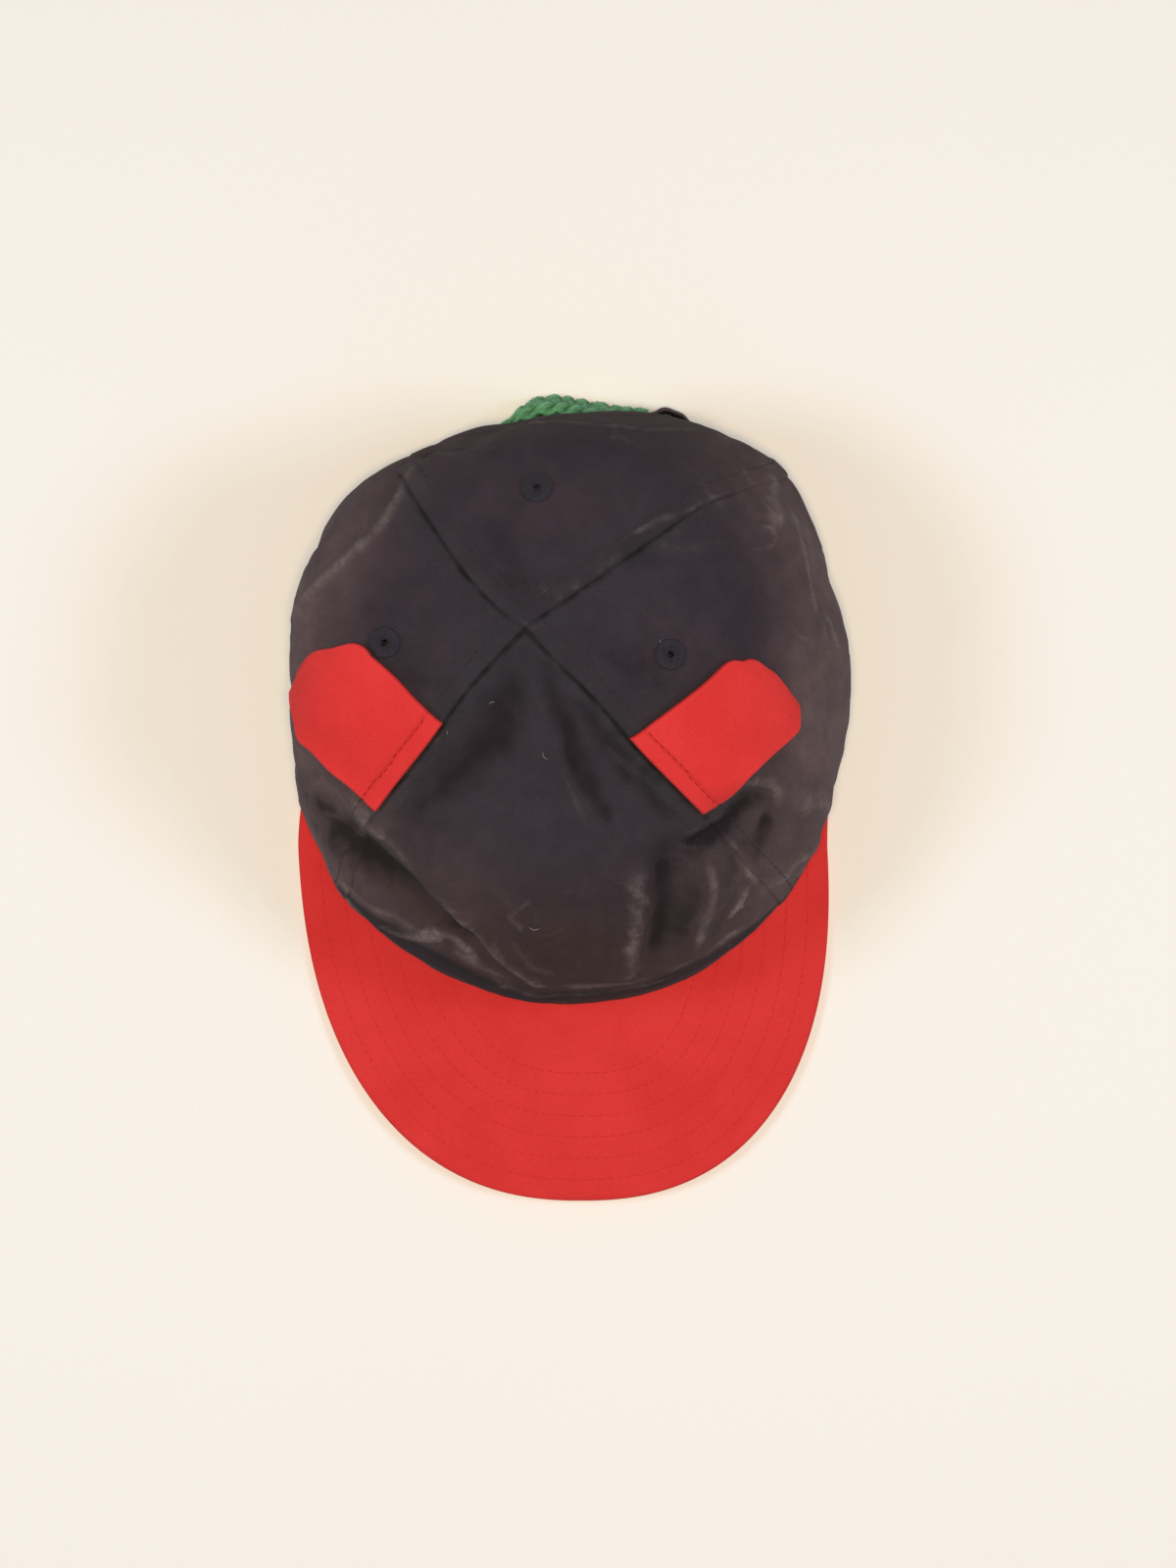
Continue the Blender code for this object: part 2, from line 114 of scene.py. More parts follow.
# Felled seams
SEAM_DITCH = 0.0009
SEAM_DITCH_WIDTH = 0.0007
FELL_WIDTH = 0.0074
FELL_HEIGHT = 0.0006
FELL_STITCH = 0.0062
STITCH_PITCH = 0.0029
STITCH_LENGTH = 0.0021
STITCH_RADIUS = 0.00020
PEAK_STITCH_RADIUS = 0.00017
RIM_STITCH_RISE = 0.0465

# Small relief of the crown's cloth
WAVER = 0.0012
WAVER_SIZE = 0.010
WAVER_SEEDS = (2.5, 6.5, 9.5)
CRUMPLE_HEIGHT = 0.00022
HEM_HEIGHT = 0.0003
HEM_EDGE = 0.0086
HEM_FLAT = 0.0076
HEM_STITCH = 0.0070

# Where the cap's own axes lie in the frame
PLACE = np.array((-0.000233, 0.028208, 0.0))

# Outs are shares of the rim's reach on that side, ups are shares of the crown's height.
Section = namedtuple(
    "Section",
    "rise lean left_out left_up right_out right_up front_out front_up back_out back_up",
)
SECTIONS = (
    Section(0.00, 0.00, 1.000, 0.000, 1.000, 0.000, 1.000, 0.000, 1.000, 0.000),
    Section(0.04, 0.00, 1.000, 0.068, 1.000, 0.068, 1.000, 0.068, 1.000, 0.068),
    Section(0.18, 0.03, 1.038, 0.295, 1.057, 0.295, 1.035, 0.273, 0.988, 0.273),
    Section(0.34, 0.12, 1.033, 0.568, 1.043, 0.545, 0.985, 0.500, 0.932, 0.523),
    Section(0.48, 0.30, 0.952, 0.807, 0.926, 0.750, 0.840, 0.693, 0.838, 0.739),
    Section(0.60, 0.50, 0.762, 0.943, 0.774, 0.869, 0.667, 0.818, 0.702, 0.875),
    Section(0.72, 0.70, 0.523, 0.983, 0.574, 0.938, 0.471, 0.909, 0.496, 0.955),
    Section(0.85, 0.88, 0.275, 0.994, 0.335, 0.983, 0.237, 0.972, 0.262, 0.989),
    Section(1.00, 1.00, 0.000, 1.000, 0.000, 1.000, 0.000, 1.000, 0.000, 1.000),
)

# A seam leaves the rim at one turn and reaches the crossing at another.
Seam = namedtuple("Seam", "rim_turn top_turn")
FRONT_LEFT_SEAM = Seam(-140.0, -138.0)
FRONT_RIGHT_SEAM = Seam(-42.0, -58.0)
BACK_RIGHT_SEAM = Seam(44.0, 43.0)
BACK_LEFT_SEAM = Seam(121.0, 152.0)
SEAMS = (FRONT_LEFT_SEAM, FRONT_RIGHT_SEAM, BACK_RIGHT_SEAM, BACK_LEFT_SEAM)

# A fold or crease runs through three places on the crown. Depth, out when positive, and reach are shares
# of the crown's height.
Fold = namedtuple(
    "Fold",
    "start_turn start_rise middle_turn middle_rise end_turn end_rise depth reach",
)
FOLDS = (
    Fold(-160, 0.43, -138, 0.46, -114, 0.42, -0.075, 0.105),
    Fold(-166, 0.24, -137, 0.26, -97, 0.29, 0.020, 0.070),
    Fold(-139, 0.57, -121, 0.54, -111, 0.48, 0.034, 0.070),
    Fold(-165, 0.50, -149, 0.54, -137, 0.55, 0.025, 0.060),
    Fold(-61, 0.55, -42, 0.53, -33, 0.53, -0.055, 0.085),
    Fold(-43, 0.47, -38, 0.46, -33, 0.46, -0.050, 0.090),
    Fold(-35, 0.60, -28, 0.57, -25, 0.45, 0.034, 0.065),
    Fold(-47, 0.50, -58, 0.42, -63, 0.37, 0.030, 0.055),
    Fold(-68, 0.55, -72, 0.49, -77, 0.37, 0.025, 0.055),
    Fold(-59, 0.57, -64, 0.50, -69, 0.42, -0.025, 0.050),
    Fold(-50, 0.27, -42, 0.31, -30, 0.30, 0.010, 0.060),
    Fold(168, 0.50, 149, 0.63, 125, 0.60, 0.036, 0.060),
    Fold(33, 0.46, 23, 0.47, 8, 0.46, 0.028, 0.060),
    Fold(44, 0.76, 33, 0.68, 33, 0.60, -0.034, 0.070),
    Fold(103, 0.93, 106, 0.85, 107, 0.76, -0.034, 0.080),
    Fold(-88, 0.93, -84, 0.78, -73, 0.65, 0.022, 0.090),
    Fold(-105, 0.85, -108, 0.79, -109, 0.72, -0.025, 0.110),
    Fold(-78, 0.80, -78, 0.71, -77, 0.62, -0.022, 0.090),
    Fold(-20, 0.80, -26, 0.78, -30, 0.74, -0.030, 0.110),
    Fold(-165, 0.80, -158, 0.78, -150, 0.76, -0.026, 0.100),
    Fold(-109, 0.47, -102, 0.43, -95, 0.38, 0.026, 0.050),
    Fold(100, 0.38, 114, 0.42, 134, 0.42, -0.030, 0.160),
    Fold(114, 0.52, 124, 0.53, 134, 0.53, 0.040, 0.070),
    Fold(106, 0.44, 112, 0.36, 116, 0.26, -0.034, 0.060),
    Fold(-4, 0.38, -12, 0.26, -24, 0.17, -0.028, 0.095),
    Fold(18, 0.42, 23, 0.30, 17, 0.18, -0.026, 0.085),
    Fold(150, 0.40, 156, 0.28, 149, 0.18, -0.026, 0.085),
    Fold(176, 0.38, 185, 0.26, 195, 0.17, -0.028, 0.095),
    Fold(46, 0.24, 54, 0.34, 66, 0.40, 0.030, 0.160),
)

# A crease runs through three places too, with its height, out when positive, and reach in the same shares.
# Wear and shade is how light handling has rubbed it where positive, and how dark its painted shade lies where
# negative.
Crease = namedtuple(
    "Crease",
    "start_turn start_rise middle_turn middle_rise end_turn end_rise depth reach wear",
)
CREASES = (
    # left, from behind the ear down to the peak
    Crease(-147, 0.55, -140, 0.54, -134, 0.55, 0.010, 0.022, 0.40),
    Crease(-134, 0.55, -129, 0.54, -124, 0.52, 0.008, 0.024, 0.30),
    Crease(-124, 0.53, -116, 0.49, -110, 0.46, 0.010, 0.028, 0.25),
    Crease(-109, 0.46, -101, 0.40, -94, 0.35, 0.012, 0.020, 0.45),
    Crease(-100, 0.46, -96, 0.41, -90, 0.38, 0.008, 0.014, 0.25),
    Crease(-160, 0.36, -152, 0.37, -147, 0.28, 0.011, 0.020, 0.65),
    Crease(-152, 0.37, -137, 0.45, -124, 0.49, -0.016, 0.052, -1.00),
    Crease(-161, 0.34, -153, 0.40, -144, 0.42, -0.008, 0.030, -0.60),
    Crease(-148, 0.26, -141, 0.25, -135, 0.27, 0.009, 0.022, 0.90),
    Crease(-130, 0.30, -122, 0.35, -116, 0.38, 0.006, 0.018, 0.55),
    Crease(-121, 0.37, -114, 0.39, -108, 0.38, 0.008, 0.020, 0.80),
    # front, above the peak
    Crease(-105, 0.34, -93, 0.30, -82, 0.30, 0.006, 0.018, 0.35),
    Crease(-82, 0.30, -77, 0.30, -68, 0.29, 0.006, 0.018, 0.45),
    # right, from below the ear down to the peak
    Crease(-51, 0.57, -44, 0.56, -40, 0.55, 0.011, 0.022, 0.60),
    Crease(-31, 0.57, -27, 0.52, -31, 0.43, 0.010, 0.024, 0.45),
    Crease(-51, 0.55, -44, 0.54, -36, 0.53, -0.014, 0.035, -1.00),
    Crease(-43, 0.50, -44, 0.45, -44, 0.40, 0.012, 0.022, 0.60),
    Crease(-46, 0.41, -50, 0.40, -54, 0.39, 0.012, 0.018, 1.00),
    Crease(-50, 0.51, -56, 0.44, -62, 0.38, 0.012, 0.026, 0.50),
    Crease(-56, 0.57, -69, 0.54, -76, 0.38, 0.008, 0.045, 0.30),
    Crease(-57, 0.53, -62, 0.47, -65, 0.41, -0.012, 0.060, -0.55),
    Crease(-26, 0.43, -22, 0.39, -21, 0.29, 0.008, 0.050, 0.60),
    Crease(-31, 0.46, -36, 0.44, -41, 0.43, -0.008, 0.035, -0.35),
    Crease(-26, 0.24, -34, 0.34, -41, 0.36, 0.008, 0.018, 0.65),
    Crease(-26, 0.22, -33, 0.24, -40, 0.31, -0.008, 0.014, -0.80),
    # front of the flat top, running out from the crossing
    Crease(-104, 0.92, -112, 0.79, -128, 0.64, -0.012, 0.045, -0.85),
    Crease(-86, 0.92, -80, 0.80, -77, 0.66, 0.012, 0.024, 0.50),
    Crease(-72, 0.93, -74, 0.78, -70, 0.64, -0.010, 0.030, -0.80),
    Crease(-61, 0.84, -55, 0.71, -51, 0.59, -0.012, 0.035, -0.70),
    Crease(-59, 0.76, -52, 0.67, -48, 0.57, 0.008, 0.016, 0.28),
    Crease(-136, 0.75, -138, 0.66, -138, 0.58, 0.006, 0.020, 0.20),
    Crease(4, 0.91, -17, 0.82, -18, 0.74, -0.010, 0.040, -0.40),
    Crease(179, 0.71, -166, 0.76, -152, 0.80, -0.006, 0.040, -0.35),
    # left edge of the flat top
    Crease(120, 0.55, 134, 0.62, 148, 0.63, 0.010, 0.020, 0.50),
    Crease(148, 0.63, 160, 0.57, 167, 0.51, 0.010, 0.020, 0.55),
    Crease(167, 0.51, 171, 0.48, 175, 0.46, 0.008, 0.025, 0.50),
    # right edge of the flat top
    Crease(45, 0.36, 38, 0.45, 33, 0.50, 0.010, 0.045, 0.50),
    Crease(37, 0.39, 26, 0.44, 12, 0.46, 0.014, 0.022, 0.70),
    Crease(12, 0.41, 9, 0.40, 6, 0.38, 0.010, 0.020, 0.65),
    Crease(60, 0.42, 53, 0.30, 45, 0.24, 0.008, 0.030, 0.40),
    Crease(50, 0.45, 45, 0.46, 44, 0.38, 0.010, 0.022, 0.35),
    Crease(41, 0.73, 33, 0.69, 33, 0.60, 0.010, 0.024, 0.20),
    # back
    Crease(107, 0.75, 104, 0.84, 95, 0.92, -0.008, 0.030, -0.45),
    Crease(92, 0.93, 82, 0.93, 72, 0.91, 0.006, 0.026, 0.40),
    Crease(53, 0.76, 46, 0.66, 43, 0.55, 0.008, 0.020, 0.18),
    Crease(102, 0.41, 92, 0.46, 82, 0.51, 0.007, 0.016, 0.50),
    Crease(82, 0.51, 72, 0.49, 64, 0.42, 0.007, 0.016, 0.40),
)

# How high the crown's front folds over above the peak: degrees from the middle of the front, and the rise.
PEAK_FOLD = ((-56, 0.255), (-38, 0.345), (-18, 0.340), (5, 0.312), (45, 0.298), (62, 0.235))

# Along an ear from its seam to its tip: how far the upper and lower edges lie from the seam, in turn,
# and at what rise.
EarStation = namedtuple("EarStation", "along upper_turn upper_rise lower_turn lower_rise")
LEFT_EAR = (
    EarStation(0.00, 0, 0.765, 0, 0.580),
    EarStation(0.16, 15, 0.750, 9, 0.565),
    EarStation(0.32, 29, 0.725, 15, 0.550),
    EarStation(0.48, 39, 0.685, 22, 0.530),
    EarStation(0.62, 43, 0.650, 26, 0.510),
    EarStation(0.76, 43, 0.600, 31, 0.495),
    EarStation(0.88, 43, 0.555, 35, 0.485),
    EarStation(1.00, 41, 0.515, 38, 0.480),
)
RIGHT_EAR = (
    EarStation(0.00, 0, 0.760, 0, 0.590),
    EarStation(0.16, 14, 0.750, 9, 0.580),
    EarStation(0.32, 27, 0.730, 17, 0.575),
    EarStation(0.48, 38, 0.700, 24, 0.550),
    EarStation(0.62, 45, 0.670, 30, 0.520),
    EarStation(0.76, 46, 0.640, 32, 0.510),
    EarStation(0.88, 46, 0.615, 35, 0.510),
    EarStation(1.00, 44, 0.575, 38, 0.515),
)

Eyelet = namedtuple("Eyelet", "name turn rise")
EYELETS = (
    Eyelet("left_eyelet", 178.0, 0.700),
    Eyelet("right_eyelet", -4.0, 0.766),
    Eyelet("back_eyelet", 90.5, 0.704),
)

# Across the opening, in half-widths of the arch: how far the strap stands out from the rim's line, in
# strap bulges.
StrapStation = namedtuple("StrapStation", "along stand")
STRAP = (
    StrapStation(-1.00, -0.30),
    StrapStation(-0.70, -0.50),
    StrapStation(-0.54, 0.15),
    StrapStation(-0.42, 1.00),
    StrapStation(-0.22, 1.35),
    StrapStation(0.10, 0.75),
    StrapStation(0.42, 0.20),
    StrapStation(0.58, 0.05),
    StrapStation(0.72, 0.75),
    StrapStation(0.86, 0.95),
    StrapStation(1.00, 0.00),
)

# Random rumples all over the crown: the size of their lumps in metres, and their height in millimetres
Rumple = namedtuple("Rumple", "size height seed")
RUMPLES = (
    Rumple(0.021, 0.55, 3.1),
    Rumple(0.0105, 0.30, 7.7),
    Rumple(0.0055, 0.13, 5.2),
)

# Lint on the crown: its place, its length in metres and its heading in degrees
Lint = namedtuple("Lint", "turn rise length heading")
LINT = (
    Lint(-118.8, 0.843, 0.0018, 20),
    Lint(-135.0, 0.759, 0.0012, 80),
    Lint(-85.4, 0.778, 0.0030, 120),
    Lint(-94.6, 0.490, 0.0034, 170),
    Lint(-49.5, 0.387, 0.0020, 30),
    Lint(0.4, 0.784, 0.0014, 90),
)


# ---------------------------------------------------------------- curves


def mix(low, high, share):
    return low + (high - low) * share


def smoothstep(low, high, value):
    """0 at low and 1 at high, with a smooth change between; low may be the larger."""
    share = np.clip((np.asarray(value, float) - low) / (high - low), 0.0, 1.0)
    return share * share * (3.0 - 2.0 * share)


def bell(value, width):
    return np.exp(-((value / width) ** 2))


def unit(vectors):
    return vectors / np.linalg.norm(vectors, axis=-1, keepdims=True)


def row_at(table, places):
    """The table's columns at many places along its first one, on a smooth curve through its rows."""
    rows = np.array(table, float)
    at = rows[:, 0]
    last = len(at) - 1
    places = np.asarray(places, float)
    row = np.clip(np.searchsorted(at[1:], places, "left"), 0, last - 1)
    a, b = rows[np.maximum(row - 1, 0)], rows[row]
    c, d = rows[row + 1], rows[np.minimum(row + 2, last)]
    span = (c - b)[..., :1]
    share = (places[..., None] - b[..., :1]) / span
    start = (c - a) / (c - a)[..., :1] * span
    end = (d - b) / (d - b)[..., :1] * span
    curve = (
        b * (2 * share**3 - 3 * share**2 + 1)
        + start * (share**3 - 2 * share**2 + share)
        + c * (3 * share**2 - 2 * share**3)
        + end * (share**3 - share**2)
    )
    return type(table[0])(*np.moveaxis(curve, -1, 0))


def rounded(value, roundness):
    """The cosine or sine of a superellipse."""
    return np.copysign(np.abs(value) ** (2.0 / roundness), value)


def camber_at(x):
    return PEAK_CAMBER * np.maximum(0.0, 1.0 - (x / PEAK_HALF_WIDTH) ** 2)


def crown_base(turn, rise):
    """Points on the crown before its folds, in the cap's own axes."""
    turn, rise = np.broadcast_arrays(np.asarray(turn, float), np.asarray(rise, float))
    section = row_at(SECTIONS, rise)
    across, along = np.cos(np.radians(turn)), np.sin(np.radians(turn))
    right, behind = across > 0, along > 0
    side_out = np.where(right, section.right_out, section.left_out)
    side_up = np.where(right, section.right_up, section.left_up)
    end_reach = np.where(behind, RIM_BACK * section.back_out, RIM_FRONT * section.front_out)
    end_up = np.where(behind, section.back_up, section.front_up)
    front = mix(FRONT_ROUNDNESS, FRONT_ROUNDNESS_ABOVE, smoothstep(HEM_RISE, CALM_HEM_RISE, rise))
    roundness = np.where(behind, BACK_ROUNDNESS, front)
    x = LEAN_SIDE * section.lean + rounded(across, roundness) * RIM_HALF_WIDTH * side_out
    y = LEAN_BACK * section.lean + rounded(along, roundness) * end_reach
    y = y - BACK_TUCK * bell(turn - TUCK_TURN, TUCK_SPREAD) * smoothstep(0.8, 0.5, rise)
    z = CROWN_HEIGHT * (side_up * across**2 + end_up * along**2)
    z = z + camber_at(x) * smoothstep(0.15, 0.5, -along) * (1.0 - rise)
    return np.stack((x, y, z), -1)


def crown_normal(turn, rise):
    """The outward direction of the crown before its folds."""
    rise = np.minimum(rise, CROSSING_RISE)
    low, high = np.maximum(0.0, rise - 0.004), np.minimum(0.995, rise + 0.004)
    round_rim = crown_base(np.asarray(turn) + 0.5, rise) - crown_base(np.asarray(turn) - 0.5, rise)
    up_panel = crown_base(turn, high) - crown_base(turn, low)
    return unit(np.cross(round_rim, up_panel))


def beside_line(points, start, end):
    """How far points lie from a straight line, and how far along it they are, from 0 to 1."""
    run = end - start
    share = np.clip((points - start) @ run / (run @ run), 0.0, 1.0)
    return np.linalg.norm(points - start - share[..., None] * run, axis=-1), share


def beside_fold(fold, points):
    """How far points lie from a fold's line, and how far along it they are, from 0 to 1."""
    stops = [crown_base(turn, rise) for turn, rise in zip(fold[0:5:2], fold[1:6:2])]
    near, along = np.full(points.shape[:-1], np.inf), np.zeros(points.shape[:-1])
    for half, (start, end) in enumerate(zip(stops, stops[1:])):
        gap, share = beside_line(points, start, end)
        along = np.where(gap < near, (half + share) / 2, along)
        near = np.minimum(near, gap)
    return near, along


def folds_at(points):
    """How far the large folds move the cloth, outward when positive."""
    return CROWN_HEIGHT * sum(
        fold.depth * bell(beside_fold(fold, points)[0], fold.reach * CROWN_HEIGHT) for fold in FOLDS
    )


def wavered(points):
    """The same places moved a little at random, because no crease runs ruler-straight."""
    return points + WAVER * np.stack([noise_at(points, WAVER_SIZE, seed) for seed in WAVER_SEEDS], -1)


def creases_at(points):
    """What the creases do to the cloth: how far they move it, how light they are rubbed, and how dark their
    painted shade lies.
    """
    loose = wavered(points)
    height, light, dark = np.zeros((3, *points.shape[:-1]))
    for crease in CREASES:
        near, along = beside_fold(crease, loose)
        ends = smoothstep(-0.12, 0.14, along) * smoothstep(1.12, 0.86, along)
        reach = crease.reach * CROWN_HEIGHT * (0.6 + 0.4 * ends)
        height += crease.depth * CROWN_HEIGHT * ends * bell(near, reach)
        light = np.maximum(light, crease.wear * ends * bell(near, 1.1 * reach))
        fading = smoothstep(-0.45, 0.45, along) * smoothstep(1.45, 0.55, along)
        # Painted shade beside the creases listed with negative values, wider than the crease itself
        dark = np.maximum(dark, -crease.wear * fading * bell(near, 2.0 * crease.reach * CROWN_HEIGHT))
    broken = smoothstep(-0.6, 0.3, noise_at(points, 0.0045, 8.8))
    return height, light * (0.65 + 0.35 * broken), dark * (0.8 + 0.2 * broken)


def crumples_at(points, rise):
    """Small wrinkles with no table: thin ridges that wander over the walls and hardly show on the top."""
    loose = wavered(points)
    walls = mix(0.25, 1.0, smoothstep(0.70, 0.50, rise))
    total = np.zeros(points.shape[:-1])
    for size, seed in ((0.017, 12.1), (0.009, 15.4)):
        line = smoothstep(0.15, 0.0, np.abs(noise_at(loose, size, seed)))
        total += line * smoothstep(-0.1, 0.35, noise_at(points, 0.015, seed + 2.0))
    return walls * total


def seam_turn(seam, rise):
    return mix(seam.rim_turn, seam.top_turn, np.asarray(rise, float) ** 3)


def degree_length(turn, rise):
    """How long one degree of turn is on the cloth."""
    return np.linalg.norm(crown_base(turn + 0.5, rise) - crown_base(turn - 0.5, rise), axis=-1)


def turn_gap(first, second):
    """From the first turn to the second, the short way round."""
    return (second - first + 180.0) % 360.0 - 180.0


def from_seam(seam, turn, rise):
    """How far along the cloth a place lies from a seam, positive with the turn."""
    line = seam_turn(seam, rise)
    gap = turn_gap(line, turn)
    return gap * degree_length(line + gap / 2, rise)


def beside_seam(seam, distance, rise):
    """The turn that lies a short distance from a seam, positive with the turn."""
    line = seam_turn(seam, rise)
    gap = distance / degree_length(line, rise)
    return line + distance / degree_length(line + gap / 2, rise)


def noise_at(points, size, seed):
    """Soft noise from -1 to 1 over points of the cap, with lumps of a size in metres."""
    flat = (np.reshape(points, (-1, 3)) / size + seed).tolist()
    return np.reshape([noise.noise(place) for place in flat], np.shape(points)[:-1])


def from_arch(points):
    """How far points of the back lie outside the opening's edge, seen straight from behind."""
    x, z = points[..., 0] - ARCH_SIDE, points[..., 2]
    ratio = np.sqrt((x / ARCH_HALF_WIDTH) ** 2 + (z / ARCH_HEIGHT) ** 2)
    slope = np.sqrt((x / ARCH_HALF_WIDTH**2) ** 2 + (z / ARCH_HEIGHT**2) ** 2) / np.maximum(ratio, 0.01)
    gap = (ratio - 1.0) / np.maximum(slope, 1.0)
    return np.where(points[..., 1] > 0, gap, 1.0)


def beside_felled(seam, turn, rise):
    """The distance from a seam, positive on the side where the felled allowance lies."""
    away = from_seam(seam, turn, rise)
    return away if seam in (BACK_RIGHT_SEAM, FRONT_RIGHT_SEAM) else -away


def crown_relief(turn, rise, points):
    """What the seams, hems and small wrinkles add to the cloth, beyond the large folds."""
    relief = creases_at(points)[0] + CRUMPLE_HEIGHT * crumples_at(points, rise)
    walls = smoothstep(0.75, 0.45, rise)
    for rumple in RUMPLES:
        strength = rumple.height * MM * (0.35 + 0.65 * walls)
        relief += strength * noise_at(points, rumple.size, rumple.seed)
    relief *= smoothstep(0.0, CALM_HEM_RISE, rise) * smoothstep(1.0, 0.93, rise)
    uneven = noise_at(points, 0.006, 1.3)
    ditch, strip = np.zeros((2, *points.shape[:-1]))
    for seam in SEAMS:
        felled = beside_felled(seam, turn, rise)
        deep = mix(0.35, 1.0, smoothstep(0.45, 0.75, rise)) * (0.75 + 0.6 * uneven)
        ditch = np.maximum(ditch, deep * bell(felled + 0.0003 * uneven, SEAM_DITCH_WIDTH))
        flat = smoothstep(0.0001, 0.0010, felled)
        flat *= smoothstep(FELL_WIDTH + 0.0006, FELL_WIDTH - 0.0008, felled)
        strip = np.maximum(strip, flat - 0.8 * bell(felled - FELL_STITCH, 0.0006) * (1.0 + uneven))
    relief += 0.55 * FELL_HEIGHT * strip * (1.0 + 0.4 * uneven) - SEAM_DITCH * ditch
    # The turned-up hem at the rim, and the one round the opening
    up = points[..., 2] - camber_at(points[..., 0]) * (points[..., 1] < 0)
    relief += HEM_HEIGHT * smoothstep(HEM_EDGE, HEM_FLAT, up) - HEM_HEIGHT * bell(up - HEM_STITCH, 0.0005)
    relief -= 0.0007 * bell(up, 0.0009)
    arch = from_arch(points)
    relief += 0.0004 * smoothstep(ARCH_STITCH + 0.0016, ARCH_STITCH + 0.0008, arch)
    relief -= 0.00035 * bell(arch - ARCH_STITCH, 0.0005) + 0.0007 * bell(arch, 0.0008)
    return relief


def crown_cloth(turn, rise, lift=0.0, fine=True):
    """Points on the crown's cloth, or lifted off it, in the frame; and the height of its fine relief."""
    base = crown_base(turn, rise)
    calm = smoothstep(HEM_RISE, CALM_HEM_RISE, rise) * smoothstep(1.0, CALM_CROSSING_RISE, rise)
    large = folds_at(base) * calm
    small = crown_relief(turn, rise, base) if fine else 0.0 * large
    moved = base + crown_normal(turn, rise) * (large + small + lift)[..., None]
    return moved + PLACE, large + small


# ---------------------------------------------------------------- meshes


def grid_faces(columns, rows, first=0):
    """The quads of a grid of points laid row by row."""
    corner = first + np.arange(columns - 1)[None, :] + columns * np.arange(rows - 1)[:, None]
    quads = np.stack((corner, corner + 1, corner + columns + 1, corner + columns), -1)
    return quads.reshape(-1, 4).tolist()


def tube_faces(rings, around, first=0):
    """The quads of a tube whose points are laid ring by ring."""
    faces = []
    for ring in range(first, first + around * (rings - 1), around):
        beyond = ring + around
        for k in range(around):
            after = (k + 1) % around
            faces.append([ring + k, ring + after, beyond + after, beyond + k])
    return faces


def make_piece(name, points, faces, finish, smooth=True):
    mesh = bpy.data.meshes.new(name)
    mesh.from_pydata(np.reshape(points, (-1, 3)).tolist(), [], faces)
    mesh.validate()
    mesh.polygons.foreach_set("use_smooth", [smooth] * len(mesh.polygons))
    mesh.materials.append(finish)
    piece = bpy.data.objects.new(name, mesh)
    bpy.context.scene.collection.objects.link(piece)
    return piece


def make_solid(name, points, faces, finish):
    """A closed piece, with all its faces turned outward."""
    piece = make_piece(name, points, faces, finish)
    shell = bmesh.new()
    shell.from_mesh(piece.data)
    bmesh.ops.recalc_face_normals(shell, faces=shell.faces)
    shell.to_mesh(piece.data)
    shell.free()
    return piece


def mark(piece, name, values):
    """Keeps one number a vertex for the material to read."""
    layer = piece.data.attributes.new(name, "FLOAT", "POINT")
    layer.data.foreach_set("value", np.ravel(values).astype(np.float32))


def lay_threads(piece, across, up):
    """The cloth's own grain, in metres, for the weave."""
    grain = piece.data.uv_layers.new(name="grain")
    corners = np.zeros(len(piece.data.loops), int)
    piece.data.loops.foreach_get("vertex_index", corners)
    places = np.stack((np.ravel(across)[corners], np.ravel(up)[corners]), -1)
    grain.data.foreach_set("uv", places.ravel())


def thicken(piece, thickness, offset):
    wall = piece.modifiers.new("wall", "SOLIDIFY")
    wall.thickness = thickness
    wall.offset = offset


def softened(values, rounds):
    """A grid of numbers, blurred along both of its ways."""
    for _ in range(rounds):
        padded = np.pad(values, 1, mode="edge")
        beside = padded[:-2, 1:-1] + padded[2:, 1:-1] + padded[1:-1, :-2] + padded[1:-1, 2:]
        values = (beside + 2 * values) / 6
    return values


def stand_for(piece, *nodes):
    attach(piece, "root")
    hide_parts(*nodes)


def walked(points, axis):
    """Along one way of a grid of points: how far each lies from the first edge, and from the last."""
    steps = np.linalg.norm(np.diff(points, axis=axis), axis=-1)
    gone = np.insert(np.cumsum(steps, axis=axis), 0, 0.0, axis=axis)
    whole = np.take(gone, [-1], axis=axis)
    return gone, whole - gone


def clipped(rows, faces, room):
    """Cuts faces along the line where room is nought, and keeps the side where it is positive."""
    rows, made, kept = list(rows), {}, []

    def crossing(a, b):
        key = (min(a, b), max(a, b))
        if key not in made:
            made[key] = len(rows)
            rows.append(mix(rows[a], rows[b], room[a] / (room[a] - room[b])))
        return made[key]

    for face in faces:
        inside = [room[corner] > 0 for corner in face]
        if all(inside):
            kept.append(face)
        elif any(inside):
            corners = []
            for a, b in zip(face, face[1:] + face[:1]):
                if room[a] > 0:
                    corners.append(a)
                if (room[a] > 0) != (room[b] > 0):
                    corners.append(crossing(a, b))
            kept.append(corners)
    used = sorted({corner for face in kept for corner in face})
    place = {corner: i for i, corner in enumerate(used)}
    return np.array([rows[i] for i in used]), [[place[corner] for corner in face] for face in kept]


# ---------------------------------------------------------------- threads and cloths


def add(tree, kind, wires=(), **settings):
    """Adds a node. Each wire is an input's name or number, with a socket or a plain value for it."""
    made = tree.nodes.new(kind)
    for key, value in settings.items():
        setattr(made, key, value)
    for place, value in dict(wires).items():
        if isinstance(value, bpy.types.NodeSocket):
            tree.links.new(value, made.inputs[place])
        else:
            made.inputs[place].default_value = value
    return made


def sums(tree, operation, *values):
    return add(tree, "ShaderNodeMath", enumerate(values), operation=operation).outputs[0]


def ramp(tree, value, low, high, to_low=0.0, to_high=1.0):
    wires = {0: value, 1: low, 2: high, 3: to_low, 4: to_high}
    return add(tree, "ShaderNodeMapRange", wires, interpolation_type="SMOOTHSTEP").outputs[0]


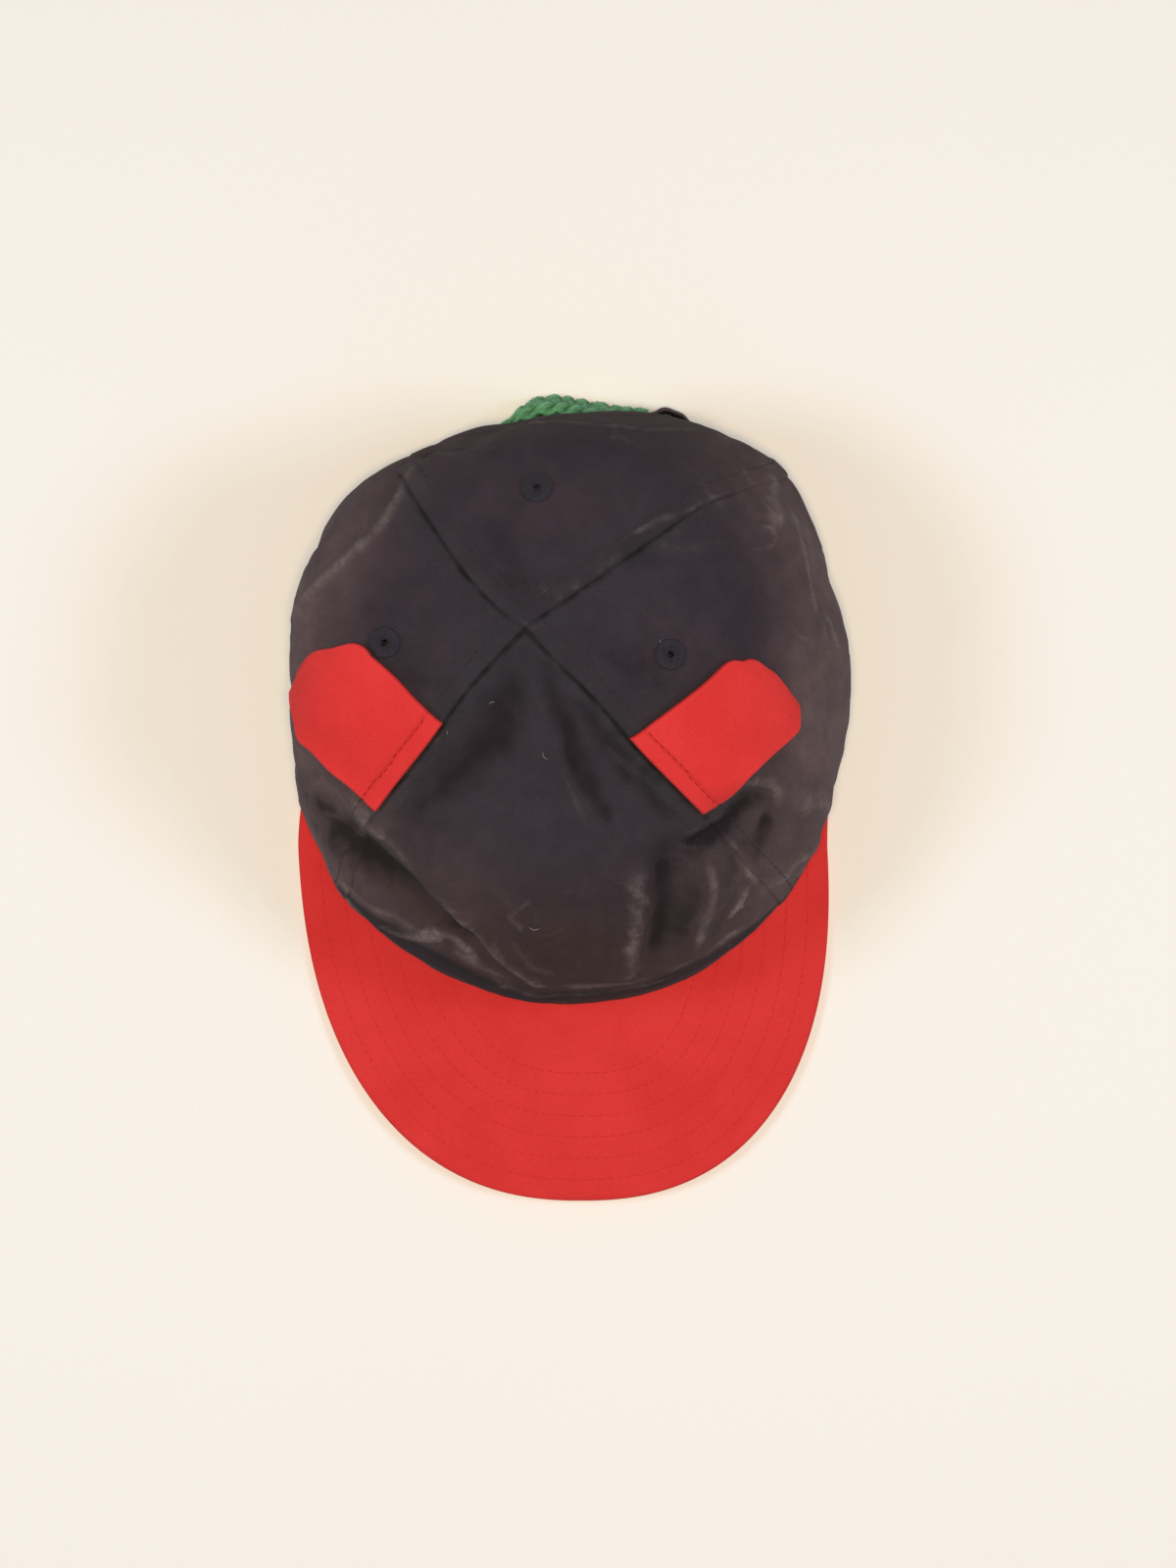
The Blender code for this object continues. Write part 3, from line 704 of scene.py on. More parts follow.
def blend(tree, share, low, high, way="MIX"):
    """A colour between two others, each a socket or three plain numbers."""
    low, high = ((*tint, 1.0) if isinstance(tint, tuple) else tint for tint in (low, high))
    wires = {0: share, 6: low, 7: high}
    return add(tree, "ShaderNodeMix", wires, data_type="RGBA", blend_type=way).outputs[2]


def new_group(name, inputs, outputs):
    group = bpy.data.node_groups.new(name, "ShaderNodeTree")
    for label, value in inputs.items():
        socket = group.interface.new_socket(label, in_out="INPUT", socket_type="NodeSocketFloat")
        socket.default_value = value
    for label in outputs:
        group.interface.new_socket(label, in_out="OUTPUT", socket_type="NodeSocketFloat")
    given = group.nodes.new("NodeGroupInput").outputs
    result = group.nodes.new("NodeGroupOutput").inputs
    return group, given, result


TWILL_RIBS = 2100.0


def twill_group():
    """Diagonal ribs of twill over the crossing threads, and how light each bit of thread is."""
    group, given, result = new_group("twill_threads", {"Ribs": TWILL_RIBS, "Waver": 0.5}, ("Height", "Shade"))
    grain = add(group, "ShaderNodeUVMap", uv_map="grain").outputs[0]
    place = add(group, "ShaderNodeSeparateXYZ", {0: grain})
    waver = add(group, "ShaderNodeTexNoise", {"Vector": grain, "Scale": 260.0, "Detail": 2.0})
    shift = sums(group, "MULTIPLY", waver.outputs[0], given["Waver"])
    across = sums(group, "MULTIPLY", place.outputs[0], given["Ribs"])
    up = sums(group, "MULTIPLY", place.outputs[1], given["Ribs"])
    rib = sums(group, "SINE", sums(group, "MULTIPLY_ADD", sums(group, "ADD", across, up), 4.4, shift))
    thread = sums(group, "SINE", sums(group, "MULTIPLY", across, 8.0))
    weft = sums(group, "SINE", sums(group, "MULTIPLY", up, 8.0))
    crossing = sums(group, "MULTIPLY", thread, weft)
    height = sums(group, "MULTIPLY_ADD", rib, 0.34, 0.5)
    height = sums(group, "MULTIPLY_ADD", crossing, 0.16, height)
    slubs = add(group, "ShaderNodeTexNoise", {"Vector": grain, "Scale": 1500.0, "Detail": 2.0})
    shade = sums(group, "MULTIPLY_ADD", slubs.outputs[0], 0.7, sums(group, "MULTIPLY", height, 0.3))
    group.links.new(height, result["Height"])
    group.links.new(shade, result["Shade"])
    return group


def mottle_group():
    """Unevenness of the dye and of handling, in large soft patches and in small ones."""
    group, given, result = new_group("dye_mottle", {"Patches": 30.0, "Specks": 420.0}, ("Patch", "Speck"))
    place = add(group, "ShaderNodeTexCoord").outputs["Object"]
    layers = (("Patches", "Patch", 5.0, 0.6, 0.32, 0.68), ("Specks", "Speck", 3.0, 0.7, 0.30, 0.70))
    for scale, label, detail, roughness, low, high in layers:
        wires = {"Vector": place, "Scale": given[scale], "Detail": detail, "Roughness": roughness}
        lumps = add(group, "ShaderNodeTexNoise", wires)
        group.links.new(ramp(group, lumps.outputs[0], low, high), result[label])
    return group


def rub_and_shade_group():
    """Where handling has rubbed the cloth light: along its ridges, broken up by the mottle; and painted shade
    where the crest is negative, in hollows, creases and grooves.
    """
    inputs = {"Crest": 0.0, "Speck": 0.5, "Strength": 1.0}
    group, given, result = new_group("rubbed_ridges_and_painted_hollow_shade", inputs, ("Rub", "Painted_Shade"))
    ridge = ramp(group, given["Crest"], 0.08, 1.10)
    broken = sums(group, "MULTIPLY_ADD", given["Speck"], 0.75, 0.35)
    rub = sums(group, "MULTIPLY", sums(group, "MULTIPLY", ridge, broken), given["Strength"])
    group.links.new(sums(group, "MINIMUM", rub, 1.0), result["Rub"])
    # Painted shade: darker where the crest is negative, in hollows, creases and grooves
    group.links.new(ramp(group, given["Crest"], -0.10, -1.00), result["Painted_Shade"])
    return group


TWILL, MOTTLE, RUBBED_AND_SHADED = twill_group(), mottle_group(), rub_and_shade_group()


def new_material(name, roughness, specular=0.2, sheen=0.0, sheen_roughness=0.5, sheen_tint=(1, 1, 1)):
    finish = bpy.data.materials.new(name)
    finish.use_nodes = True
    shader = finish.node_tree.nodes["Principled BSDF"]
    shader.inputs["Roughness"].default_value = roughness
    shader.inputs["Specular IOR Level"].default_value = specular
    shader.inputs["Sheen Weight"].default_value = sheen
    shader.inputs["Sheen Roughness"].default_value = sheen_roughness
    shader.inputs["Sheen Tint"].default_value = (*sheen_tint, 1.0)
    return finish, finish.node_tree, shader


def placed(tree, group, wires=()):
    return add(tree, "ShaderNodeGroup", wires, node_tree=group).outputs


def read_mark(tree, name):
    return add(tree, "ShaderNodeAttribute", attribute_name=name, attribute_type="GEOMETRY").outputs["Fac"]


def bump_into(tree, shader, height, distance, strength=1.0):
    bump = add(tree, "ShaderNodeBump", {"Height": height, "Distance": distance, "Strength": strength})
    tree.links.new(bump.outputs[0], shader.inputs["Normal"])


def worn_and_shaded_twill(tree, patches, specks, waver, strength):
    """The mottle, the threads, the rubbed ridges and the painted shade of the hollows that a twill's colours are
    mixed by.
    """
    mottle = placed(tree, MOTTLE, {"Patches": patches, "Specks": specks})
    twill = placed(tree, TWILL, {"Ribs": TWILL_RIBS, "Waver": waver})
    wires = {"Crest": read_mark(tree, "crest"), "Speck": mottle["Speck"], "Strength": strength}
    return mottle, twill, placed(tree, RUBBED_AND_SHADED, wires)


def colour_twill(tree, shader, colour, light):
    """Colours the cloth, with each bit of thread as light as it is."""
    tone = add(tree, "ShaderNodeCombineXYZ", {0: light, 1: light, 2: light}).outputs[0]
    tree.links.new(blend(tree, 1.0, colour, tone, "MULTIPLY"), shader.inputs["Base Color"])


def washed_navy():
    """The crown's twill: navy along its seams, browner between them, faded and painted with sheen on the side
    walls, rubbed on its ridges, with painted shade in its hollows and below the fold over the peak.
    """
    finish, tree, shader = new_material("washed_navy_twill", 0.94, 0.10, 0.03, 0.5, (0.95, 0.85, 0.82))
    mottle, twill, rubbed_and_shaded = worn_and_shaded_twill(tree, 26.0, 620.0, 0.9, 0.8)
    uneven = sums(tree, "MULTIPLY_ADD", mottle["Patch"], 0.6, 0.5)
    colour = blend(tree, mottle["Patch"], (0.0325, 0.0222, 0.0265), (0.0425, 0.0288, 0.0335))
    # The warm and cool tints are the dye's; the faded side walls also carry painted sheen
    tints = {"warm": (0.0400, 0.0225, 0.0205), "cool": (0.0305, 0.0255, 0.0280), "fade": (0.1180, 0.0740, 0.0700)}
    for label, tint in tints.items():
        colour = blend(tree, sums(tree, "MULTIPLY", read_mark(tree, label), uneven), colour, tint)
    # Painted shade below the crown's fold over the peak
    colour = blend(tree, sums(tree, "MULTIPLY", read_mark(tree, "shade"), 0.85), colour, (0.0150, 0.0115, 0.0150))
    colour = blend(tree, rubbed_and_shaded["Rub"], colour, (0.1750, 0.1290, 0.1200))
    # Painted shade in the hollows, creases and seam ditches
    colour = blend(tree, sums(tree, "MULTIPLY", rubbed_and_shaded["Painted_Shade"], 0.85), colour, (0.0130, 0.0090, 0.0100))
    cloud = placed(tree, MOTTLE, {"Patches": 150.0, "Specks": 1300.0})
    threads = ramp(tree, twill["Shade"], 0.25, 0.75, 0.88, 1.13)
    clouds = ramp(tree, cloud["Patch"], 0.0, 1.0, 0.95, 1.06)
    colour_twill(tree, shader, colour, sums(tree, "MULTIPLY", threads, clouds))
    tree.links.new(ramp(tree, rubbed_and_shaded["Rub"], 0.0, 1.0, 0.95, 0.88), shader.inputs["Roughness"])
    bump_into(tree, shader, sums(tree, "MULTIPLY_ADD", mottle["Speck"], 0.8, twill["Height"]), 0.00009)
    return finish


def bright_red():
    """The peak's and the ears' red twill, with rubbed edges and painted shade in its grooves and along its edges.
    """
    finish, tree, shader = new_material("red_twill", 0.82, 0.16, 0.06, 0.5, (1.0, 0.55, 0.5))
    mottle, twill, rubbed_and_shaded = worn_and_shaded_twill(tree, 38.0, 500.0, 0.7, 0.5)
    colour = blend(tree, mottle["Patch"], (0.640, 0.0265, 0.0235), (0.690, 0.0335, 0.0300))
    colour = blend(tree, rubbed_and_shaded["Rub"], colour, (0.740, 0.0600, 0.0540))
    # Painted shade in the peak's stitched channels, along the peak's and the ears' edges and in the ears' stitch
    # groove
    colour = blend(tree, sums(tree, "MULTIPLY", rubbed_and_shaded["Painted_Shade"], 0.6), colour, (0.400, 0.0120, 0.0120))
    colour_twill(tree, shader, colour, ramp(tree, twill["Shade"], 0.25, 0.75, 0.90, 1.08))
    tree.links.new(ramp(tree, mottle["Speck"], 0.0, 1.0, 0.78, 0.88), shader.inputs["Roughness"])
    bump_into(tree, shader, sums(tree, "MULTIPLY_ADD", mottle["Speck"], 0.4, twill["Height"]), 0.00011)
    return finish


def thread(name, dark, light, roughness=0.6):
    """Sewing thread, with its twist."""
    finish, tree, shader = new_material(name, roughness, 0.12, 0.02)
    place = add(tree, "ShaderNodeTexCoord").outputs["Object"]
    twist = add(tree, "ShaderNodeTexWave", {"Vector": place, "Scale": 900.0, "Distortion": 2.5, "Detail": 1.0})
    uneven = add(tree, "ShaderNodeTexNoise", {"Vector": place, "Scale": 350.0, "Detail": 2.0})
    share = sums(tree, "MULTIPLY_ADD", twist.outputs["Fac"], 0.4, sums(tree, "MULTIPLY", uneven.outputs[0], 0.6))
    tree.links.new(blend(tree, share, dark, light), shader.inputs["Base Color"])
    dull = ramp(tree, uneven.outputs[0], 0.2, 0.8, roughness - 0.1, roughness + 0.15)
    tree.links.new(dull, shader.inputs["Roughness"])
    bump_into(tree, shader, twist.outputs["Fac"], 0.00008)
    return finish


def green_terry():
    """The band's terry: painted shade down in the gathers, between the loops and at their roots; light on the
    loops.
    """
    finish, tree, shader = new_material("green_terry", 0.95, 0.1, 0.10, 0.6, (0.75, 1.0, 0.8))
    place = add(tree, "ShaderNodeTexCoord").outputs["Object"]
    loops = add(tree, "ShaderNodeTexVoronoi", {"Vector": place, "Scale": 1250.0})
    patch = placed(tree, MOTTLE, {"Patches": 120.0, "Specks": 700.0})
    colour = blend(tree, patch["Patch"], (0.150, 0.440, 0.200), (0.240, 0.580, 0.290))
    # Painted shade between the little loops of the texture
    colour = blend(tree, ramp(tree, loops.outputs["Distance"], 0.1, 0.7), colour, (0.110, 0.320, 0.140))
    crest = read_mark(tree, "crest")
    # Painted shade down in the gathers where the crest is negative; lighter on their crests
    depths = ((-0.1, -0.9, 0.75, (0.035, 0.130, 0.050)), (0.2, 1.0, 0.5, (0.380, 0.680, 0.420)))
    for low, high, strength, tint in depths:
        colour = blend(tree, sums(tree, "MULTIPLY", ramp(tree, crest, low, high), strength), colour, tint)
    tree.links.new(colour, shader.inputs["Base Color"])
    tree.links.new(ramp(tree, patch["Speck"], 0.0, 1.0, 0.88, 1.0), shader.inputs["Roughness"])
    bump_into(tree, shader, sums(tree, "SUBTRACT", patch["Speck"], loops.outputs["Distance"]), 0.0003)
    return finish


def pale_paper():
    finish, tree, shader = new_material("pale_backdrop", 0.85, 0.1)
    place = add(tree, "ShaderNodeTexCoord").outputs["Object"]
    tooth = add(tree, "ShaderNodeTexNoise", {"Vector": place, "Scale": 900.0, "Detail": 3.0})
    cloud = add(tree, "ShaderNodeTexNoise", {"Vector": place, "Scale": 3.0, "Detail": 2.0})
    colour = blend(tree, cloud.outputs[0], (0.845, 0.758, 0.665), (0.860, 0.775, 0.685))
    tree.links.new(colour, shader.inputs["Base Color"])
    tree.links.new(ramp(tree, tooth.outputs[0], 0.3, 0.7, 0.80, 0.90), shader.inputs["Roughness"])
    bump_into(tree, shader, tooth.outputs[0], 0.00004)
    return finish


NAVY = washed_navy()
RED = bright_red()
NAVY_THREAD = thread("navy_thread", (0.026, 0.019, 0.022), (0.052, 0.039, 0.041), 0.8)
EYELET_THREAD = thread("eyelet_thread", (0.020, 0.016, 0.020), (0.044, 0.036, 0.044), 0.7)
RED_THREAD = thread("red_thread", (0.300, 0.009, 0.010), (0.470, 0.018, 0.019))
PEAK_THREAD = thread("peak_thread", (0.620, 0.026, 0.023), (0.700, 0.036, 0.033))
LINT_THREAD = thread("pale_lint", (0.20, 0.17, 0.16), (0.40, 0.36, 0.34), 0.8)
TERRY = green_terry()


# ---------------------------------------------------------------- crown

# How far from a seam the panel's columns of vertices lie, in millimetres: close together where the
# seam's relief is sharp.
BESIDE_SEAM = (0, 0.3, 0.6, 1.0, 1.6, 2.5, 3.5, 4.5, 5.3, 5.8, 6.2, 6.6, 7.0, 7.4, 7.9, 8.6)
HEM_ROWS = 20
HEM_TOP_RISE = 0.062
UP_PANEL = 0.155
EYELET_CUT = 0.0010


def panel_rises(rows):
    hem = np.linspace(0.0, HEM_TOP_RISE, HEM_ROWS)
    return np.concatenate((hem, np.linspace(HEM_TOP_RISE, TOP_RISE, rows)[1:]))


def panel_turns(first, second, rises, middle):
    """The turns of a panel's columns at each rise, and how far across the cloth they lie."""
    start = seam_turn(first, rises)
    width = (seam_turn(second, rises) - start) % 360.0
    shares = np.linspace(0.0, 1.0, 91)
    turns = start[:, None] + width[:, None] * shares
    gone = walked(crown_base(turns, rises[:, None]), 1)[0]
    steps = np.array(BESIDE_SEAM) * MM
    result, across = [], []
    for turn_row, gone_row in zip(turns, gone):
        whole = gone_row[-1]
        near = steps * min(1.0, 0.42 * whole / steps[-1])
        inner = np.linspace(near[-1], whole - near[-1], middle + 2)[1:-1]
        places = np.concatenate((near, inner, whole - near[::-1]))
        result.append(np.interp(places, gone_row, turn_row))
        across.append(places - whole / 2)
    return np.array(result), np.array(across)


# What the navy twill is mixed by, one number for each at every vertex; the sheen on the side walls and the shade
# are painted light.
PANEL_MARKS = ("crest", "fade", "warm", "cool", "shade")


def panel_marks(turns, rise, points, height, base):
    """How rubbed, faded, warm, cool and shaded each place of a panel is: painted sheen on the side walls, painted
    shade in the hollows and below the fold over the peak.
    """
    light, dark = creases_at(base)[1:]
    # Rubbed light on the ridges where the crest is positive; painted shade in the hollows and beside the creases
    # where it is negative
    crest = (height - softened(height, 14)) / (1.0 * MM)
    crest = np.where(crest > 0, 0.45 * crest, 0.9 * crest) + light - dark + 0.24 * crumples_at(base, rise)
    # The side walls are faded and painted lighter with sheen, less so where painted shade lies
    sideways = np.abs(np.cos(np.radians(turns))) ** 2.0
    patches = 0.5 + 0.6 * noise_at(base, 0.017, 3.3) + 0.35 * noise_at(base, 0.0045, 1.9)
    onset = 0.64 + 0.06 * (points[..., 0] < PLACE[0])
    fade = smoothstep(onset, onset - 0.22, rise) * sideways * (0.95 + 0.45 * patches)
    fade *= 1.0 - 0.8 * np.clip(dark, 0, 1)
    forward = bell(turn_gap(turns, -90.0), 46.0)
    warm = forward * smoothstep(0.66, 0.40, rise) + 0.6 * smoothstep(0.55, 0.3, rise) * (1.0 - sideways)
    cool = np.zeros(rise.shape)
    for seam in SEAMS:
        felled = beside_felled(seam, turns, rise)
        cool = np.maximum(cool, bell(felled, 0.008) * smoothstep(0.45, 0.7, rise))
        rubbed = smoothstep(0.0, 0.002, felled) * smoothstep(FELL_WIDTH + 0.001, FELL_WIDTH - 0.002, felled)
        crest += 0.10 * rubbed * smoothstep(0.55, 0.85, rise) * (1.0 + noise_at(base, 0.005, 4.1))
        crest += 0.45 * bell(felled, 0.005) * (noise_at(base, 0.0040, 6.2) - 0.12)
        # A thin line of painted shade along the seam's ditch
        line = 0.30 * bell(felled, 0.0010) * smoothstep(0.45, 0.70, rise)
        crest -= line * (1.0 + 2.0 * noise_at(base, 0.0028, 5.5))
    cool = np.maximum(0.8 * cool, smoothstep(0.80, 0.97, rise)) + 0.4 * forward * smoothstep(0.52, 0.66, rise)
    # The crown folds over along the peak: painted shade below the fold, rubbed light just above it
    edge = np.interp(turn_gap(-90.0, turns), *np.transpose(PEAK_FOLD))
    beside_peak = smoothstep(72.0, 58.0, np.abs(turn_gap(-90.0, turns)))
    shade = beside_peak * smoothstep(edge + 0.008, edge - 0.010, rise)
    shade *= smoothstep(edge - 0.090, edge - 0.050, rise)
    crest += 0.55 * beside_peak * bell(rise - edge - 0.022, 0.012) * (0.8 + noise_at(base, 0.008, 2.2))
    arch = from_arch(base)
    crest += 0.5 * bell(arch - ARCH_STITCH, 0.0010) + 0.4 * bell(arch, 0.0012)
    return crest, fade, warm, cool, shade


def make_panel(panel):
    rises = panel_rises(panel.rows)
    turns, across = panel_turns(panel.first, panel.second, rises, panel.middle)
    rise = np.broadcast_to(rises[:, None], turns.shape)
    points, height = crown_cloth(turns, rise)
    base = crown_base(turns, rise)
    marks = panel_marks(turns, rise, points, height, base)
    columns = (*np.moveaxis(points, -1, 0), across, rise * UP_PANEL, *marks)
    records = np.stack([np.ravel(column) for column in columns], -1)
    room = from_arch(base)
    for eyelet in EYELETS:
        hole = np.linalg.norm(points - crown_cloth(eyelet.turn, eyelet.rise, fine=False)[0], axis=-1)
        room = np.minimum(room, hole - EYELET_CUT)
    records, faces = clipped(records, grid_faces(turns.shape[1], len(rises)), np.ravel(room))
    cloth = make_piece(panel.node + "_cloth", records[:, :3], faces, NAVY)
    lay_threads(cloth, records[:, 3], records[:, 4])
    for column, label in enumerate(PANEL_MARKS, 5):
        mark(cloth, label, np.clip(records[:, column], -1.5, 1.5))
    thicken(cloth, CLOTH, -1)
    stand_for(cloth, panel.node)


# ---------------------------------------------------------------- stitches


# Along a stitch: its girth, and how high it bows off the cloth, in its radius
STITCH_ALONG = np.array((0.0, 0.2, 0.5, 0.8, 1.0))
STITCH_GIRTH = np.array((0.35, 0.9, 1.0, 0.9, 0.35))
STITCH_BOW = np.array((-0.48, 0.24, 0.48, 0.24, -0.48))
THREAD_SIDES = 5
THREAD_ANGLES = np.radians(np.arange(THREAD_SIDES) * 72.0)


def make_stitches(name, routes, finish, pitch=STITCH_PITCH, length=STITCH_LENGTH, radius=STITCH_RADIUS):
    """Rows of sewn stitches. Each route is its points on the cloth and the cloth's outward directions."""
    around = THREAD_ANGLES[None, :, None]
    points, faces = [], []
    for route, out in routes:
        gone = np.insert(np.cumsum(np.linalg.norm(np.diff(route, axis=0), axis=1)), 0, 0.0)
        count = int(gone[-1] / pitch)
        for place in np.arange(count) * pitch + 0.3 * pitch:
            at = place + STITCH_ALONG * length
            middle = np.stack([np.interp(at, gone, route[:, i]) for i in range(3)], -1)
            up = unit(np.stack([np.interp(at, gone, out[:, i]) for i in range(3)], -1))
            side = unit(np.cross(middle[-1] - middle[0], up))
            middle = middle + up * radius * STITCH_BOW[:, None]
            ring = np.cos(around) * side[:, None] + np.sin(around) * up[:, None]
            first = THREAD_SIDES * len(points)
            points.extend(middle[:, None] + ring * radius * STITCH_GIRTH[:, None, None])
            faces += tube_faces(len(STITCH_ALONG), THREAD_SIDES, first)
            last = THREAD_SIDES * len(points) - THREAD_SIDES
            faces.append([first + i for i in reversed(range(THREAD_SIDES))])
            faces.append([last + i for i in range(THREAD_SIDES)])
    piece = make_solid(name, np.array(points), faces, finish)
    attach(piece, "root")


def seam_route(seam, side, start, end):
    rises = np.linspace(start, end, 160)
    turns = beside_seam(seam, side * FELL_STITCH, rises)
    return crown_cloth(turns, rises)[0], crown_normal(turns, rises)


def back_places(x, z):
    """The turns and rises of the places on the back of the crown that lie at x and z."""
    turn, rise = 90.0 - 900.0 * (x - ARCH_SIDE), z / 0.14
    for _ in range(14):
        here = crown_base(turn, rise)
        by_turn = (crown_base(turn + 0.1, rise) - here) / 0.1
        by_rise = (crown_base(turn, rise + 0.001) - here) / 0.001
        gap_x, gap_z = x - here[..., 0], z - here[..., 2]
        whole = by_turn[..., 0] * by_rise[..., 2] - by_turn[..., 2] * by_rise[..., 0]
        turn = turn + 0.8 * (gap_x * by_rise[..., 2] - gap_z * by_rise[..., 0]) / whole
        rise = np.clip(rise + 0.8 * (by_turn[..., 0] * gap_z - by_turn[..., 2] * gap_x) / whole, 0.0, 0.7)
    return turn, rise


def arch_route(distance):
    angle = np.radians(np.linspace(9.0, 171.0, 140))
    x = ARCH_SIDE + (ARCH_HALF_WIDTH + distance) * np.cos(angle)
    z = (ARCH_HEIGHT + distance) * np.sin(angle)
    turns, rises = back_places(x, z)
    return crown_cloth(turns, rises)[0], crown_normal(turns, rises)


def rim_route(start, end):
    turns = np.linspace(start, end, 420)
    rises = np.full(len(turns), RIM_STITCH_RISE)
    return crown_cloth(turns, rises)[0], crown_normal(turns, rises)


def sew_crown():
    routes = [
        seam_route(BACK_RIGHT_SEAM, 1, 0.05, 0.965),
        seam_route(BACK_LEFT_SEAM, -1, 0.05, 0.965),
        seam_route(FRONT_RIGHT_SEAM, 1, 0.05, 0.580),
        seam_route(FRONT_RIGHT_SEAM, 1, 0.772, 0.955),
        seam_route(FRONT_LEFT_SEAM, -1, 0.05, 0.572),
        seam_route(FRONT_LEFT_SEAM, -1, 0.776, 0.955),
    ]
    make_stitches("seam_stitches", routes, NAVY_THREAD)
    make_stitches("hem_stitches", [arch_route(ARCH_STITCH), rim_route(119.0, 420.0)], NAVY_THREAD)


# ---------------------------------------------------------------- peak


def peak_inner(share, tuck=0.0005):
    turn = -90.0 + (90.0 - PEAK_END_TURN) * share
    return (crown_base(turn, 0.0 * turn) - crown_normal(turn, 0.0 * turn) * tuck)[..., :2]


def peak_outer(share):
    end = peak_inner(np.array(1.0), -0.0003)[1] - PEAK_WING
    tip = -(RIM_FRONT + PEAK_LENGTH)
    swing = math.tan(math.radians(PEAK_SWING))

    def curved(part):
        angle = np.radians(90.0 * part)
        across = rounded(np.sin(angle), PEAK_ROUNDNESS) * PEAK_HALF_WIDTH
        along = mix(end, tip, rounded(np.cos(angle), PEAK_ROUNDNESS))
        return np.stack((across - (along + RIM_FRONT) * swing, along), -1)

    side = np.sign(share)
    back = np.clip((np.abs(share) - PEAK_CURVED_SHARE) / (1.0 - PEAK_CURVED_SHARE), 0.0, 1.0)[..., None]
    start = curved(side)
    finish = peak_inner(side, -0.0003) + np.stack((side * PEAK_WING_WIDTH, 0.0 * side), -1)
    wing = mix(start, finish, np.concatenate((back**2, back), -1))
    front = curved(np.clip(share / PEAK_CURVED_SHARE, -1.0, 1.0))
    return np.where(np.abs(share)[..., None] <= PEAK_CURVED_SHARE, front, wing)


def from_peak_edge(places):
    """How far places on the peak lie from its free edge, in plan."""
    edge = peak_outer(np.linspace(-1.0, 1.0, 361))
    flat = np.reshape(places, (-1, 2))
    gap = np.full(len(flat), 1.0)
    for start, end in zip(edge[:-1], edge[1:]):
        gap = np.minimum(gap, beside_line(flat, start, end)[0])
    return gap.reshape(places.shape[:-1])


def peak_top(places):
    """The height of the peak's upper face at places in plan, with its stitched channels."""
    edge = from_peak_edge(places)
    points = np.concatenate((places, 0.0 * places[..., :1]), -1)
    height = camber_at(places[..., 0]) + PEAK_THICKNESS - 0.0001
    height += 0.00022 * noise_at(points, 0.034, 4.4) + 0.00008 * noise_at(points, 0.012, 9.4)
    relief = 0.0 * height
    for row in PEAK_ROWS:
        relief -= 0.00007 * bell(edge - row * MM, 0.0007)
    relief += 0.00008 * bell(edge - 0.0026, 0.0014)
    return height + relief, relief


def make_peak():
    share = np.linspace(-1.0, 1.0, 221)
    inner, outer = peak_inner(share), peak_outer(share)
    length = np.linalg.norm(outer - inner, axis=-1)
    nose = np.minimum(0.0014, 0.45 * length)
    half = PEAK_THICKNESS / 2
    rows = []
    for step in np.linspace(1.0, 0.0, 110):
        rows.append(("top", nose + step * (length - nose)))
    for angle in np.radians((75, 55, 35, 18, 0, -18, -35, -55, -75)):
        rows.append((angle, nose * (1 - np.cos(angle))))
    for step in np.linspace(0.0, 1.0, 26):
        rows.append(("bottom", nose + step * (length - nose)))
    points, crest, walked_out = [], [], []
    for kind, inset in rows:
        place = outer + (inner - outer) * (inset / length)[:, None]
        level = camber_at(place[:, 0])
        relief = 0.0 * level
        if isinstance(kind, str):
            if kind == "top":
                level, relief = peak_top(place)
        else:
            level = level + half + np.sin(kind) * (half - 0.0001)
            # A painted shade line along the middle of the peak's rounded edge: it moves no point, only the crest
            relief = relief - 0.0004 * bell(kind, 0.25)
        points.append(np.concatenate((place, level[:, None]), -1))
        # The relief's hollows give painted shade in the stitched channels
        crest.append(relief / 0.00030)
        walked_out.append(place)
    points = np.array(points) + PLACE
    count, columns = len(rows), len(share)
    faces = grid_faces(columns, count)
    last = (count - 1) * columns
    faces += [[last + i, last + i + 1, i + 1, i] for i in range(columns - 1)]
    for column in (0, columns - 1):
        ring = [row * columns + column for row in range(count)]
        faces.append(ring if column == 0 else ring[::-1])
    peak = make_solid("peak_cover", points, faces, RED)
    plan = np.array(walked_out)
    lay_threads(peak, plan[..., 0], plan[..., 1])
    mark(peak, "crest", np.clip(np.array(crest), -1.2, 1.2))
    stand_for(peak, "peak")


def sew_peak():
    """The rows of stitching that follow the peak's free edge."""
    share = np.linspace(-0.97, 0.97, 400)
    edge = peak_outer(share)
    run = unit(np.gradient(edge, axis=0))
    inward = np.stack((-run[:, 1], run[:, 0]), -1)
    routes = []
    for row in PEAK_ROWS:
        places = edge + inward * row * MM
        reach = np.abs(places[:, 0] / RIM_HALF_WIDTH) ** FRONT_ROUNDNESS
        reach = reach + np.abs(np.minimum(places[:, 1], 0.0) / RIM_FRONT) ** FRONT_ROUNDNESS
        clear = (reach > 1.02) & (np.abs(from_peak_edge(places) - row * MM) < 0.0004)
        places = places[clear]
        if len(places) > 20:
            points = np.concatenate((places, peak_top(places)[0][:, None]), -1) + PLACE
            routes.append((points, np.tile((0.0, 0.0, 1.0), (len(points), 1))))
    make_stitches("peak_stitches", routes, PEAK_THREAD, radius=PEAK_STITCH_RADIUS)


# ---------------------------------------------------------------- ears


def crowded(count):
    """Shares from 0 to 1 that lie closer together near both ends."""
    share = np.linspace(0.0, 1.0, count)
    return mix(share, smoothstep(0.0, 1.0, share), 0.75)


